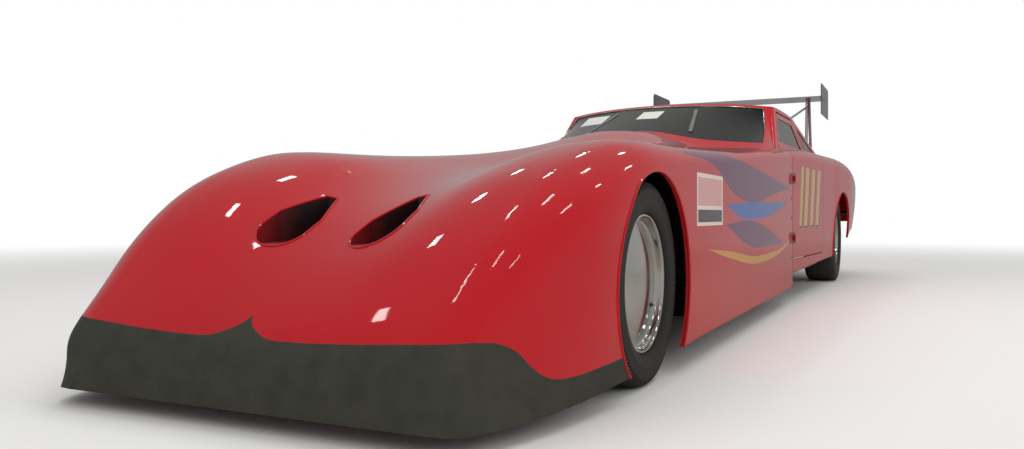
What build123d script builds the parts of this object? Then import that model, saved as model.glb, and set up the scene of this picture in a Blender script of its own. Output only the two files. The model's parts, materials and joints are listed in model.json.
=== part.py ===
"""A full-bodied drag racing car: +X is the car's left, +Y its tail, +Z up, in millimetres.

The body is a thin composite shell. Its shape comes from the two tables of cross sections below, the cabin
from two plan outlines, and everything that rolls, steers or opens is placed from the axles and the doors.
"""
from build123d import *
import os
from math import atan2, cos, sin, sqrt

# Overall sizes. "s" is always a distance behind the front axle.
WHEELBASE = 4860
NOSE_S = -990
TAIL_S = 5900
MID_S = (NOSE_S + TAIL_S) / 2
SKIN = 14
RUN_GAP = 0.3
PANEL_GAP = 8
REACH = 2400

# Cross sections of the front body, each half drawn from the centreline outwards.
# s, sill height, sill half-width, shoulder x, shoulder z, crest x, crest z, centre z, share of crest x
# where the hollow beside the crest turns into the crown of the hood
FRONT_SECTIONS = [
    (NOSE_S, 50, 590, 565, 85, 480, 118, 114, 0.5),
    (-975, 47, 632, 605, 120, 515, 172, 167, 0.5),
    (-950, 45, 668, 640, 165, 550, 220, 213, 0.5),
    (-850, 48, 722, 676, 232, 570, 333, 303, 0.5),
    (-600, 55, 785, 766, 405, 610, 553, 462, 0.5),
    (-300, 70, 822, 834, 540, 640, 708, 590, 0.5),
    (50, 85, 845, 840, 670, 660, 788, 675, 0.5),
    (600, 98, 850, 846, 730, 670, 808, 760, 0.5),
    (1300, 100, 851, 847, 775, 670, 850, 890, 0.45),
    (2100, 102, 852, 850, 835, 700, 905, 1025, 0.4),
    (2810, 105, 853, 852, 880, 740, 950, 1030, 0.4),
]
# The same columns for the rear body.
REAR_SECTIONS = [
    (2810, 190, 853, 852, 880, 740, 950, 1030, 0.4),
    (3600, 205, 885, 892, 905, 800, 983, 998, 0.5),
    (4400, 220, 918, 938, 905, 835, 1000, 1003, 0.5),
    (4900, 240, 945, 978, 895, 855, 1006, 1000, 0.5),
    (5400, 390, 975, 1002, 860, 865, 980, 974, 0.5),
    (5750, 430, 968, 998, 790, 855, 925, 920, 0.5),
    (TAIL_S, 480, 945, 975, 700, 812, 862, 857, 0.5),
]
JOINT_S = 2810
# Where the skins take a section: close together where the nose turns down, and alike to their neighbours.
FRONT_STATIONS = (-895, -820, -720, -590, -430, -240, -20, 230, 510, 820, 1150, 1480, 1810, 2140, 2470)
REAR_STATIONS = (3090, 3370, 3650, 3930, 4210, 4490, 4770, 5050, 5320, 5560, 5750)

# Cabin: plan outlines at two heights, each with the middle of its curved front edge.
# z, front centre s, front corner x, front corner s, rear corner x, rear s
CABIN_OUTLINES = [
    (1000, 2200, 740, 2870, 790, 4850),
    (1250, 2880, 690, 3080, 712, 3760),
]
CABIN_LOW_Z = 880
CABIN_HIGH_Z = 1330
CABIN_CORNER_R = 60
# How far the wall's inner face lies inside its outer face, in plan: windscreen, sides, rear slope.
WALL_FRONT, WALL_SIDE, WALL_REAR = 40, 15, 52
ROOF_TOP_Z = 1285
ROOF_DROP = 40
ROOF_HALF = 700
ROOF_MID_S = 3380
ROOF_ARCH_R = 7000
GLASS_SHARE = (0.2, 0.6)

# Openings of the cabin, as outlines of (s, z) seen from the side or (x, z) seen from the front.
DOOR_FRAME = [(2955, 885), (2955, 985), (3150, 1206), (3690, 1206), (3990, 990), (3990, 885)]
DOOR_GLASS = [(3012, 1012), (3170, 1174), (3668, 1174), (3890, 1012)]
QUARTER_GLASS = [(4020, 1028), (4500, 1028), (3876, 1174)]
SCREEN_FOOT = [(708, 968), (530, 965), (350, 988), (200, 1023)]
SCREEN_GLASS = [*SCREEN_FOOT, (0, 1044), *[(-x, z) for x, z in reversed(SCREEN_FOOT)]]
SCREEN_GLASS += [(-640, 1224), (0, 1250), (640, 1224)]
REAR_GLASS = [(640, 1024), (0, 1026), (-640, 1024), (-560, 1214), (0, 1222), (560, 1214)]

# Wheels and tyres.
FRONT_TYRE_R = 325
FRONT_TYRE_W = 130
FRONT_FACE_X = 812
REAR_TYRE_R = 345
REAR_TYRE_W = 240
REAR_FACE_X = 928
RIM_R = 222
RIM_WALL = 8
DISC_DOME = 26
HUB_R = 46
FRONT_ARCH_GAP = 29
REAR_ARCH_GAP = 40
FRONT_ARCH_R = FRONT_TYRE_R + FRONT_ARCH_GAP
REAR_ARCH_R = REAR_TYRE_R + REAR_ARCH_GAP

# Steering.
KINGPIN_X = 660
KINGPIN_R = 11
SPINDLE_R = 20
KNUCKLE_H = 90
STEER_ARM = 140
STEER_ARM_Z = -60
TIE_ROD_R = 9
TIE_Z = FRONT_TYRE_R + STEER_ARM_Z + 34
TIE_DRIFT = 5

# Doors, hinged at their front edge on barrels that stand on the skin.
DOOR_REAR_S = 3950
DOOR_SILL_Z = 272
HINGE_OUT = 13
HINGE_R = 7
HINGE_PIN_R = 3
HINGE_LEN = 66
HINGE_HEIGHTS = (400, 760)
FRAME_GAP = 11

# Chassis.
RAIL_X = 390
RAIL = (50, 80)
RAIL_Z = 215
RAIL_FRONT_S = -760
RAIL_REAR_S = 5650
CROSS_S = (-740, -330, STEER_ARM, 950, 1420, 1980, 2700, 4250, 5420)
# Arms that carry the body: s, height at the body. They end in pockets halfway into its skin.
OUTRIGGERS = [(-560, 215), (740, 215), (1700, 215), (2640, 215), (4330, 300), (5450, 560)]
OUTRIGGER_R = 16
SHOCK_S = WHEELBASE
LADDER_IN = 128
SHOCK_IN = 55
SHOCK_TOP_Z = 740
TUBE_R = 21
STAY_R = 20.6
DOOR_BAR_R = 20.2
CROSS_BAR_R = 19.8
HOOP_S = 4060

# Drive line: engine block, then gearbox and shaft back to the pinion on the rear axle.
ENGINE = (600, 1350, 2050, 820)
GEARBOX_REAR_S = 2640
SHAFT_R = 45
PINION_S = 4640
FIREWALL_S = 2560
BULKHEAD_S = 4120
PAN = (810, 420, 4440, 12)

# Driver's place.
SEAT_X = 320
SEAT_W = 430
WHEEL_RING_S = 3300
WHEEL_RING_Z = 800
DASH = (600, 2800, 2960, 765, 885)

# Rear wing.
WING_S = 5400
WING_Z = 1568
WING_SPAN = 1500
WING_CHORD = 330
WING_THICK = 26
PLATE_S = 5550
PLATE = (560, 270, 6)
PLATE_Z = WING_Z - 8
STRUT_X = 630
BRACE_DROP = 68

# Hood ducts: middle x, width, front and rear s, half-width of the blunt rear tip, tray wall.
DUCT_X = 176
DUCT_W = 170
DUCT_FRONT_S = -648
DUCT_REAR_S = -325
DUCT_TIP = 22
DUCT_WALL = 5


def y(s):
    """Model Y of a place that lies s behind the front axle."""
    return s - MID_S


def block(low, high):
    """A box from its lowest to its highest corner."""
    size = [b - a for a, b in zip(low, high)]
    centre = [(a + b) / 2 for a, b in zip(low, high)]
    return Pos(*centre) * Box(*size)


def rod(start, end, radius):
    """A round bar between two points."""
    start, end = Vector(*start), Vector(*end)
    plane = Plane(origin=start, z_dir=end - start)
    return extrude(plane * Circle(radius), (end - start).length)


def bars(points, radius):
    """Round bar along a run of points, mitred at each bend."""
    start = Plane(origin=points[0], z_dir=Vector(*points[1]) - Vector(*points[0]))
    return sweep(start * Circle(radius), path=Polyline(*points), transition=Transition.RIGHT)


def mirrored(shape):
    """The same piece on the car's right."""
    return mirror(shape, about=Plane.YZ)


def pair(shape):
    """The shape and its mirror image, as two solids of one node."""
    return Compound(children=[*shape.solids(), *mirrored(shape).solids()])


def side_prism(outline, low_x, high_x, grow=0):
    """Solid whose side view is the outline of (s, z) points, moved outwards by grow."""
    face = make_face(Polyline(*[(y(s), z) for s, z in outline], close=True))
    if grow:
        face = offset(face, grow, kind=Kind.INTERSECTION)
    return extrude(Plane.YZ.offset(low_x) * face, high_x - low_x)


def front_prism(outline, start_s, end_s):
    """Solid whose front view is the outline of (x, z) points: a smooth foot, then three points of an arc."""
    at = [(x, y(start_s), z) for x, z in outline]
    low = Spline(*at[:-3]).edges()
    high = ThreePointArc(*at[-3:]).edges()
    sides = Line(at[-4], at[-3]).edges() + Line(at[-1], at[0]).edges()
    return extrude(make_face(Curve() + low + high + sides), end_s - start_s, dir=(0, 1, 0))


def section_edges(row, inset):
    """Curves of a whole cross section, moved inwards by inset, and its left sill point.

    From the centreline outwards: the crown of the hood, the hollow beside it, the fender's round top and its
    flank, which leaves the round top straight down.
    """
    s, sill_z, sill_x, shoulder_x, shoulder_z, crest_x, crest_z, centre_z, share = row
    where = y(s)
    lean = 2 * atan2(sill_x - shoulder_x, shoulder_z - sill_z)
    middle = (crest_x * share, centre_z + (crest_z - centre_z) * share)
    rise = 2 * atan2(centre_z - middle[1], middle[0])
    centre = Vector(0, where, centre_z - inset)
    middle = Vector(middle[0] - inset * sin(rise), where, middle[1] - inset * cos(rise))
    crest = Vector(crest_x, where, crest_z - inset)
    shoulder = Vector(shoulder_x - inset, where, shoulder_z)
    sill = Vector(sill_x - inset * cos(lean), where, sill_z)
    plane = Plane(origin=(crest_x, where, shoulder_z), x_dir=(1, 0, 0), z_dir=(0, -1, 0))
    half = [
        TangentArc(centre, middle, tangent=(1, 0, 0)),
        TangentArc(crest, middle, tangent=(-1, 0, 0)),
        plane * EllipticalCenterArc((0, 0), shoulder.X - crest_x, crest.Z - shoulder_z, 0, arc_size=90),
        TangentArc(shoulder, sill, tangent=(0, 0, -1)),
    ]
    left = [piece.edges()[0] for piece in half]
    return left + [mirrored(edge).edges()[0] for edge in left], sill


def wall_face(row):
    """The skin's own cross section: its outer and inner curves joined at the two sills."""
    outer, outer_sill = section_edges(row, 0)
    inner, inner_sill = section_edges(row, SKIN)
    foot = Line(outer_sill, inner_sill).edges()[0]
    return make_face(Curve() + outer + inner + [foot, mirrored(foot).edges()[0]])


def full_face(row, inset):
    """The cross section filled in."""
    curves, sill = section_edges(row, inset)
    floor = Line(sill, Vector(-sill.X, sill.Y, sill.Z)).edges()
    return make_face(Curve() + curves + floor)


def slopes(rows, n):
    """Slope of every column at row n: level at a turn, else the harmonic mean of both sides."""
    def rise(m):
        low, high = rows[m], rows[m + 1]
        return [(b - a) / (high[0] - low[0]) for a, b in zip(low, high)]
    before, after = rise(max(n - 1, 0)), rise(min(n, len(rows) - 2))
    return [2 * a * b / (a + b) if a * b > 0 else 0 for a, b in zip(before, after)]


def row_at(rows, s):
    """The table's row at s, on smooth curves that stay between their two neighbours."""
    n = max(n for n, row in enumerate(rows[:-1]) if row[0] <= s)
    span = rows[n + 1][0] - rows[n][0]
    t = (s - rows[n][0]) / span
    ends = zip(rows[n], rows[n + 1], slopes(rows, n), slopes(rows, n + 1))
    ease, bend = t * t * (3 - 2 * t), span * t * (1 - t)
    return [a + (b - a) * ease + bend * (da * (1 - t) - db * t) for a, b, da, db in ends]


def skin(rows, stations):
    """Hollow body, open below and at both ends, lofted through the table's sections at the stations."""
    return loft([wall_face(row_at(rows, s)) for s in stations])


def filled(rows, stations):
    """The same body filled in."""
    return loft([full_face(row_at(rows, s), 0) for s in stations])


def end_wall(row, into):
    """Flat wall that closes an end of the skin."""
    return extrude(full_face(row, SKIN / 2), SKIN, dir=(0, into, 0))


def cabin_keys(z, inset):
    """Front centre s, front corner x and s, rear corner x and s of the cabin at a height."""
    (low_z, *low), (high_z, *high) = CABIN_OUTLINES
    share = (z - low_z) / (high_z - low_z)
    front, corner_x, corner_s, rear_x, rear_s = [a + (b - a) * share for a, b in zip(low, high)]
    front_in, side_in, rear_in = [inset * wall for wall in (WALL_FRONT, WALL_SIDE, WALL_REAR)]
    corner = corner_x - side_in, corner_s + 0.6 * front_in
    return front + front_in, *corner, rear_x - side_in, rear_s - rear_in


def cabin_outline(z, inset):
    """Plan of the cabin at a height: a curved front, straight sides, a straight rear and round corners."""
    front_s, corner_x, corner_s, rear_x, rear_s = cabin_keys(z, inset)
    left, right = (corner_x, y(corner_s), z), (-corner_x, y(corner_s), z)
    front = ThreePointArc(right, (0, y(front_s), z), left)
    rest = Polyline(left, (rear_x, y(rear_s), z), (-rear_x, y(rear_s), z), right)
    face = make_face(Curve() + front.edges() + rest.edges())
    return fillet(face.vertices(), CABIN_CORNER_R - inset * SKIN)


def under_roof(inset):
    """Everything below the crowned and arched roof surface."""
    top, wide = ROOF_TOP_Z - inset * SKIN, ROOF_HALF + 200
    radius = (ROOF_HALF ** 2 + ROOF_DROP ** 2) / (2 * ROOF_DROP)
    edge = top - radius + sqrt(radius ** 2 - wide ** 2)
    where, low = y(ROOF_MID_S), CABIN_LOW_Z - 200
    crown = ThreePointArc((-wide, where, edge), (0, where, top), (wide, where, edge))
    rest = Polyline((wide, where, edge), (wide, where, low), (-wide, where, low), (-wide, where, edge))
    axis = Axis((0, where, top - ROOF_ARCH_R), (1, 0, 0))
    half_turn = 17
    section = make_face(Curve() + crown.edges() + rest.edges())
    return revolve(section.rotate(axis, -half_turn), axis, 2 * half_turn)


def cabin_solid(inset, low_z):
    """Cabin filled in, inset by a share of its wall."""
    faces = [cabin_outline(z, inset) for z in (low_z, CABIN_HIGH_Z)]
    return loft(faces, ruled=True) & under_roof(inset)


def fattened(gap):
    """The lower cabin grown sideways by a gap, to cut what must stay clear of it."""
    return loft([cabin_outline(z, -gap / WALL_SIDE) for z in (CABIN_LOW_Z, CABIN_HIGH_Z)], ruled=True)


def wheel_holes(s, axle_z, radius, inner_x):
    """The round holes that the two wheels of an axle look through."""
    hole = rod((inner_x, y(s), axle_z), (inner_x + 600, y(s), axle_z), radius)
    return hole + mirrored(hole)


def duct_outline(x, grow):
    """Plan of one hood duct: a round front that narrows to a blunt point at the rear."""
    half, tip = DUCT_W / 2 + grow, DUCT_TIP + grow
    front, rear = y(DUCT_FRONT_S - grow), y(DUCT_REAR_S + grow)
    middle = (front + rear) / 2
    points = [(x - half, front + half), (x - half * 0.97, middle), (x - tip, rear)]
    points += [(x + tip, rear), (x + half * 0.97, middle), (x + half, front + half)]
    round_front = ThreePointArc(points[-1], (x, front), points[0])
    return make_face(Curve() + Polyline(*points).edges() + round_front.edges())


def duct_tray(x, hood):
    """Sunk tray of one duct: its floor stays low as the hood rises over it towards the rear."""
    floor = [(DUCT_FRONT_S - 30, 452), (DUCT_REAR_S + 30, 462)]
    ends = [(DUCT_REAR_S + 30, 760), (DUCT_FRONT_S - 30, 760)]
    above_floor = side_prism(floor + ends, x - DUCT_W, x + DUCT_W)
    above_base = side_prism([(s, z - DUCT_WALL) for s, z in floor] + ends, x - DUCT_W, x + DUCT_W)
    outside = extrude(Pos(0, 0, 400) * duct_outline(x, 0), 400)
    inside = extrude(Pos(0, 0, 400) * duct_outline(x, -DUCT_WALL), 400)
    return (outside & above_base & Pos(0, 0, -3) * hood) - (inside & above_floor)


def hinge_axis():
    """Place of the left door's hinge axis in plan."""
    return FRONT_SECTIONS[-1][2] + HINGE_OUT, y(JOINT_S)


def door_reach(gap):
    """Upright cylinder about the hinge that ends at the door's rear edge."""
    x, where = hinge_axis()
    radius = DOOR_REAR_S - JOINT_S + gap
    return Pos(x, where, 700) * Cylinder(radius, 1600)


def door_block(gap):
    """Space of the left door, with a gap all round."""
    low = (560, y(JOINT_S) - 100, DOOR_SILL_Z - gap)
    high = (1100, y(DOOR_REAR_S) + 200, 1400)
    return block(low, high) & door_reach(gap)


def tyre(radius, width, face_x, centre):
    """Tyre with rounded shoulders and a flat tread, around its rim."""
    inner = face_x - width
    side = 18
    outline = [(inner + side, RIM_R), (inner, RIM_R + 30), (inner, radius - 34), (inner + 30, radius)]
    outline += [(face_x - 30, radius), (face_x, radius - 34), (face_x, RIM_R + 30), (face_x - side, RIM_R)]
    face = make_face(Polyline(*[(x, 0, z) for x, z in outline], close=True))
    ring = revolve(face, Axis((0, 0, 0), (1, 0, 0)), 360)
    return Pos(0, *centre) * ring


def wheel(width, face_x, centre):
    """Spun disc wheel: a rim band, a domed outer disc and a hub with a bore for the spindle."""
    inner, lip = face_x - width + 18, face_x - 18
    r, bore = RIM_R - RUN_GAP, SPINDLE_R + RUN_GAP
    dome = lip - DISC_DOME
    outline = [(inner, r), (lip, r), (lip, r - 14), (dome + 18, r - 34), (dome + 12, 120), (lip - 8, 54)]
    outline += [(lip - 8, 0), (lip - 20, 0), (lip - 20, bore), (dome - 46, bore), (dome - 46, HUB_R)]
    outline += [(dome - 8, HUB_R), (dome - 2, 112), (dome + 4, r - 40), (dome - 4, r - RIM_WALL)]
    outline += [(inner, r - RIM_WALL)]
    face = make_face(Polyline(*[(x, 0, z) for x, z in outline], close=True))
    return Pos(0, *centre) * revolve(face, Axis((0, 0, 0), (1, 0, 0)), 360)


def spindle_end(face_x):
    """Where the spindle ends inside the hub of the wheel with that outer face."""
    return face_x - 42


def knuckle():
    """Left steering knuckle: kingpin boss, spindle and steering arm."""
    x, z = KINGPIN_X, FRONT_TYRE_R
    boss = Pos(x, y(0), z) * Cylinder(KINGPIN_R + 12, KNUCKLE_H)
    end_x = spindle_end(FRONT_FACE_X)
    spindle = rod((x, y(0), z), (end_x, y(0), z), SPINDLE_R)
    low = z + STEER_ARM_Z
    arm = bars([(x, y(16), z - 20), (x, y(48), z - 20), (x, y(95), low), (x, y(STEER_ARM), low)], 11)
    end = Pos(x, y(STEER_ARM), low) * Cylinder(16, 24)
    pin = Pos(x, y(STEER_ARM), low + 28) * Cylinder(7, 60)
    bore = Pos(x, y(0), z) * Cylinder(KINGPIN_R + RUN_GAP, KNUCKLE_H + 20)
    return boss + spindle + arm + end + pin - bore


def tie_rod():
    """Bar across the car that both steering arms follow, with an open eye at each end."""
    bar = rod((-KINGPIN_X, y(STEER_ARM), TIE_Z), (KINGPIN_X, y(STEER_ARM), TIE_Z), TIE_ROD_R)
    for side in (-1, 1):
        end = Pos(side * KINGPIN_X, y(STEER_ARM), TIE_Z)
        bar = bar + end * Cylinder(25, 24) - end * Cylinder(7 + TIE_DRIFT, 40)
    return bar


def steering_rack():
    """Rack housing on its crossmember, bored for the tie rod."""
    housing = rod((-190, y(STEER_ARM), TIE_Z), (190, y(STEER_ARM), TIE_Z), 28)
    foot = block((-150, y(STEER_ARM) - 20, RAIL_Z + RAIL[1] / 2 - 10), (150, y(STEER_ARM) + 20, TIE_Z))
    bore = rod((-400, y(STEER_ARM), TIE_Z), (400, y(STEER_ARM), TIE_Z), TIE_ROD_R + RUN_GAP)
    return housing + foot - bore


def front_axle():
    """Tube axle with a fork at each end and the kingpins in the forks."""
    z, reach = FRONT_TYRE_R, KINGPIN_X
    axle = rod((-reach + 60, y(0), z), (reach - 60, y(0), z), 32)
    for side in (-1, 1):
        for level in (-1, 1):
            plate_z = z + level * (KNUCKLE_H / 2 + RUN_GAP + 8)
            low = (min(side * (reach - 90), side * (reach + 26)), y(-26), plate_z - 8)
            high = (max(side * (reach - 90), side * (reach + 26)), y(26), plate_z + 8)
            axle = axle + block(low, high)
        near, far = side * (reach - 90), side * (reach - 50)
        web = block((min(near, far), y(-26), z - 60), (max(near, far), y(26), z + 60))
        axle = axle + web + Pos(side * reach, y(0), z) * Cylinder(KINGPIN_R, KNUCKLE_H + 34)
    return axle


def rear_axle():
    """Rear axle: a round centre housing with a pinion nose, two tubes and a spindle in each wheel."""
    z = REAR_TYRE_R
    end_x = spindle_end(REAR_FACE_X)
    axle = rod((-75, y(WHEELBASE), z), (75, y(WHEELBASE), z), 150)
    axle = axle + block((-48, y(PINION_S), z - 48), (48, y(WHEELBASE), z + 48))
    axle = axle + rod((-670, y(WHEELBASE), z), (670, y(WHEELBASE), z), 42)
    return axle + rod((-end_x, y(WHEELBASE), z), (end_x, y(WHEELBASE), z), SPINDLE_R)


def flank_x(s, z):
    """Half-width of the skin's outer face low on the flank."""
    row = row_at(FRONT_SECTIONS if s < JOINT_S else REAR_SECTIONS, s)
    _, sill_z, sill_x, shoulder_x, shoulder_z = row[:5]
    return shoulder_x + (sill_x - shoulder_x) * ((shoulder_z - z) / (shoulder_z - sill_z)) ** 2


def outriggers(first_s, last_s):
    """The left arms between the rail and the skin in one stretch of the car."""
    arms = []
    for s, z in OUTRIGGERS:
        if first_s < s < last_s:
            foot, end = (RAIL_X, y(s), RAIL_Z), (flank_x(s, z) - SKIN / 2, y(s), z)
            if z > RAIL_Z:
                low_foot, bend = (RAIL_X, y(s), RAIL_Z - 12), (end[0] - 120, y(s), z)
                arms.append(bars([low_foot, bend, end], OUTRIGGER_R))
            else:
                arms.append(rod(foot, end, OUTRIGGER_R))
    return arms


def rails():
    """The two long box rails."""
    wide, tall = RAIL
    low = (RAIL_X - wide / 2, y(RAIL_FRONT_S), RAIL_Z - tall / 2)
    return pair(block(low, (RAIL_X + wide / 2, y(RAIL_REAR_S), RAIL_Z + tall / 2)))


def crossmembers():
    """Lower bars between the rails."""
    half, tall = RAIL_X - RAIL[0] / 2, RAIL[1] / 2 - 10
    low, high = RAIL_Z - tall, RAIL_Z + tall
    return Compound(children=[block((-half, y(s - 20), low), (half, y(s + 20), high)) for s in CROSS_S])


def axle_mounts(front_axle_piece):
    """Front axle perches on the rails, and a portal over the rear axle for the springs."""
    top, half = RAIL_Z + RAIL[1] / 2, 20
    perch = block((RAIL_X - half, y(-45), top), (RAIL_X + half, y(45), FRONT_TYRE_R)) - front_axle_piece
    inner, outer, front = RAIL_X - half, RAIL_X + half, y(SHOCK_S - 100)
    portal = block((-outer, front, SHOCK_TOP_Z - 40), (outer, y(SHOCK_S + 30), SHOCK_TOP_Z))
    post = block((inner, front, top), (outer, y(SHOCK_S - 60), SHOCK_TOP_Z))
    portal = portal + post + mirrored(post)
    return Compound(children=[*pair(perch).solids(), *portal.solids()])


def roll_cage():
    """Main hoop, roof and windscreen bars, rear stays and door bars, all on the rails."""
    rail_top = RAIL_Z + RAIL[1] / 2
    shoulder, top, corner = (640, y(HOOP_S), 900), (560, y(HOOP_S - 250), 1190), (520, y(3130), 1195)
    hip, knee = (650, y(HOOP_S), 560), (600, y(2790), 900)
    rear_foot, front_foot = (RAIL_X, y(HOOP_S), rail_top), (RAIL_X, y(2640), rail_top)
    half = bars([rear_foot, hip, shoulder, top, corner, knee, front_foot], TUBE_R)
    half = half + rod(top, (RAIL_X, y(4700), rail_top), STAY_R) + rod((453, y(2685), 450), hip, DOOR_BAR_R)
    cage = half + mirrored(half)
    for x, where, z in (top, corner, knee):
        cage = cage + rod((-x, where, z), (x, where, z), CROSS_BAR_R)
    return cage & block((-REACH, y(0), rail_top), (REACH, y(TAIL_S), 2000))


def wing_blade():
    """Blade that is flat below and cambered above."""
    nose, tail = y(WING_S - WING_CHORD / 2), y(WING_S + WING_CHORD / 2)
    x = -WING_SPAN / 2
    crest = (x, nose + WING_CHORD * 0.4, WING_Z + WING_THICK)
    top = ThreePointArc((x, nose, WING_Z), crest, (x, tail, WING_Z + 5))
    rest = Polyline((x, tail, WING_Z + 5), (x, tail, WING_Z), (x, nose, WING_Z))
    return extrude(make_face(Curve() + top.edges() + rest.edges()), WING_SPAN, dir=(1, 0, 0))


def wing_plate():
    """Left end plate with two rounded upper corners."""
    length, tall, thick = PLATE
    face = Rectangle(length, tall)
    face = fillet(face.vertices().group_by(Axis.Y)[-1], 40)
    plane = Plane(origin=(WING_SPAN / 2, y(PLATE_S), PLATE_Z), x_dir=(0, 1, 0), z_dir=(1, 0, 0))
    return extrude(plane * face, thick)


def wing_strut(deck):
    """Left pair of struts from the deck to the underside of the blade."""
    front = rod((STRUT_X, y(5330), WING_Z + 40), (STRUT_X, y(5230), 850), 13)
    rear = rod((STRUT_X, y(5440), WING_Z + 40), (STRUT_X, y(5690), 750), 13)
    below_blade = block((0, y(4900), 600), (REACH, y(TAIL_S), WING_Z))
    return ((front + rear) & below_blade) - deck


def engine_block():
    """The engine as one plain block on its crossmembers."""
    width, front, rear, top = ENGINE
    low = RAIL_Z + RAIL[1] / 2 - 10
    return block((-width / 2, y(front), low), (width / 2, y(rear), top))


def drive_line():
    """Gearbox that tapers rearwards and the shaft to the pinion."""
    z, rear = REAR_TYRE_R, ENGINE[2]
    bell = Plane(origin=(0, y(rear), z + 40), z_dir=(0, 1, 0)) * Circle(150)
    tail = Plane(origin=(0, y(GEARBOX_REAR_S), z), z_dir=(0, 1, 0)) * Circle(75)
    shaft = rod((0, y(GEARBOX_REAR_S - 20), z), (0, y(PINION_S), z), SHAFT_R)
    above_cross = block((-REACH, y(rear), RAIL_Z + RAIL[1] / 2), (REACH, y(PINION_S), 800))
    return (loft([bell, tail]) + shaft) & above_cross


def seat():
    """One-piece bucket seat: a pan, a leaning back with a head rest and a wing on each side."""
    low = RAIL_Z + RAIL[1] / 2
    top, wing_top = low + 640, low + 590
    shape = [(3480, low), (3500, low + 150), (3860, low + 110), (3975, top), (4030, top), (3930, low)]
    wing = [(3500, low), (3490, low + 215), (3840, low + 250)]
    wing += [(3915, wing_top), (4030, wing_top), (3930, low)]
    side = SEAT_W / 2
    body = side_prism(shape, SEAT_X - side, SEAT_X + side)
    for edge in (-side, side - 36):
        body = body + side_prism(wing, SEAT_X + edge, SEAT_X + edge + 36)
    rest = [(3960, top), (3995, top + 160), (4040, top + 160), (4030, top)]
    return body + side_prism(rest, SEAT_X - 110, SEAT_X + 110)


def steering_line():
    """Where the steering column starts and its direction towards the driver."""
    end = Vector(SEAT_X, y(WHEEL_RING_S), WHEEL_RING_Z)
    start = Vector(SEAT_X, y(2590), 610)
    return start, end


def steering_wheel():
    """Ring, three spokes and a long shaft."""
    start, end = steering_line()
    plane = Plane(origin=end, x_dir=(1, 0, 0), z_dir=end - start)
    ring = plane * Torus(150, 14)
    shaft = rod(start, end, 12)
    hub = plane * Cylinder(34, 26)
    spokes = hub
    for turn in (90, 210, 330):
        spokes = spokes + plane * (Rot(0, 0, turn) * (Pos(78, 0, 0) * Box(148, 26, 6)))
    return spokes + ring + shaft


def dashboard(cage):
    """Dash panel under the windscreen with the bearing of the steering column."""
    half, front, rear, low, high = DASH
    panel = block((-half, y(front), low), (half, y(rear), high))
    start, end = steering_line()
    middle = start + (end - start) * ((DASH[1] + DASH[2]) / 2 - 2590) * (1 / (WHEEL_RING_S - 2590))
    hanger = block((SEAT_X - 45, y(front + 40), middle.Z - 45), (SEAT_X + 45, y(rear - 40), low + 20))
    return panel + hanger - rod(start, end, 12 + RUN_GAP) - cage


def hinge_parts(height):
    """Fixed and moving halves of one left door hinge, and the running space around the pin."""
    x, where = hinge_axis()
    skin_x = x - HINGE_OUT
    half = HINGE_LEN / 2
    inner = half / 2
    fixed = block((skin_x - 6, where - 44, height - half), (skin_x + 4, where - 12, height + half))
    for level in (-1, 1):
        middle = height + level * (half + inner) / 2
        tall = half - inner - 1
        fixed = fixed + block((skin_x, where - 14, middle - tall / 2), (x, where, middle + tall / 2))
        fixed = fixed + Pos(x, where, middle) * Cylinder(HINGE_R, tall)
    moving = block((skin_x - 6, where + 12, height - inner), (skin_x + 4, where + 50, height + inner))
    moving = moving + block((skin_x, where + 2, height - inner), (x, where + 14, height + inner))
    moving = moving + Pos(x, where, height) * Cylinder(HINGE_R, 2 * inner)
    moving = moving - Pos(x, where, height) * Cylinder(HINGE_PIN_R + RUN_GAP, HINGE_LEN)
    fixed = fixed - Pos(x, where, height) * Cylinder(HINGE_R + 6, 2 * inner + 2)
    return fixed + Pos(x, where, height) * Cylinder(HINGE_PIN_R, HINGE_LEN), moving


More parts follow.
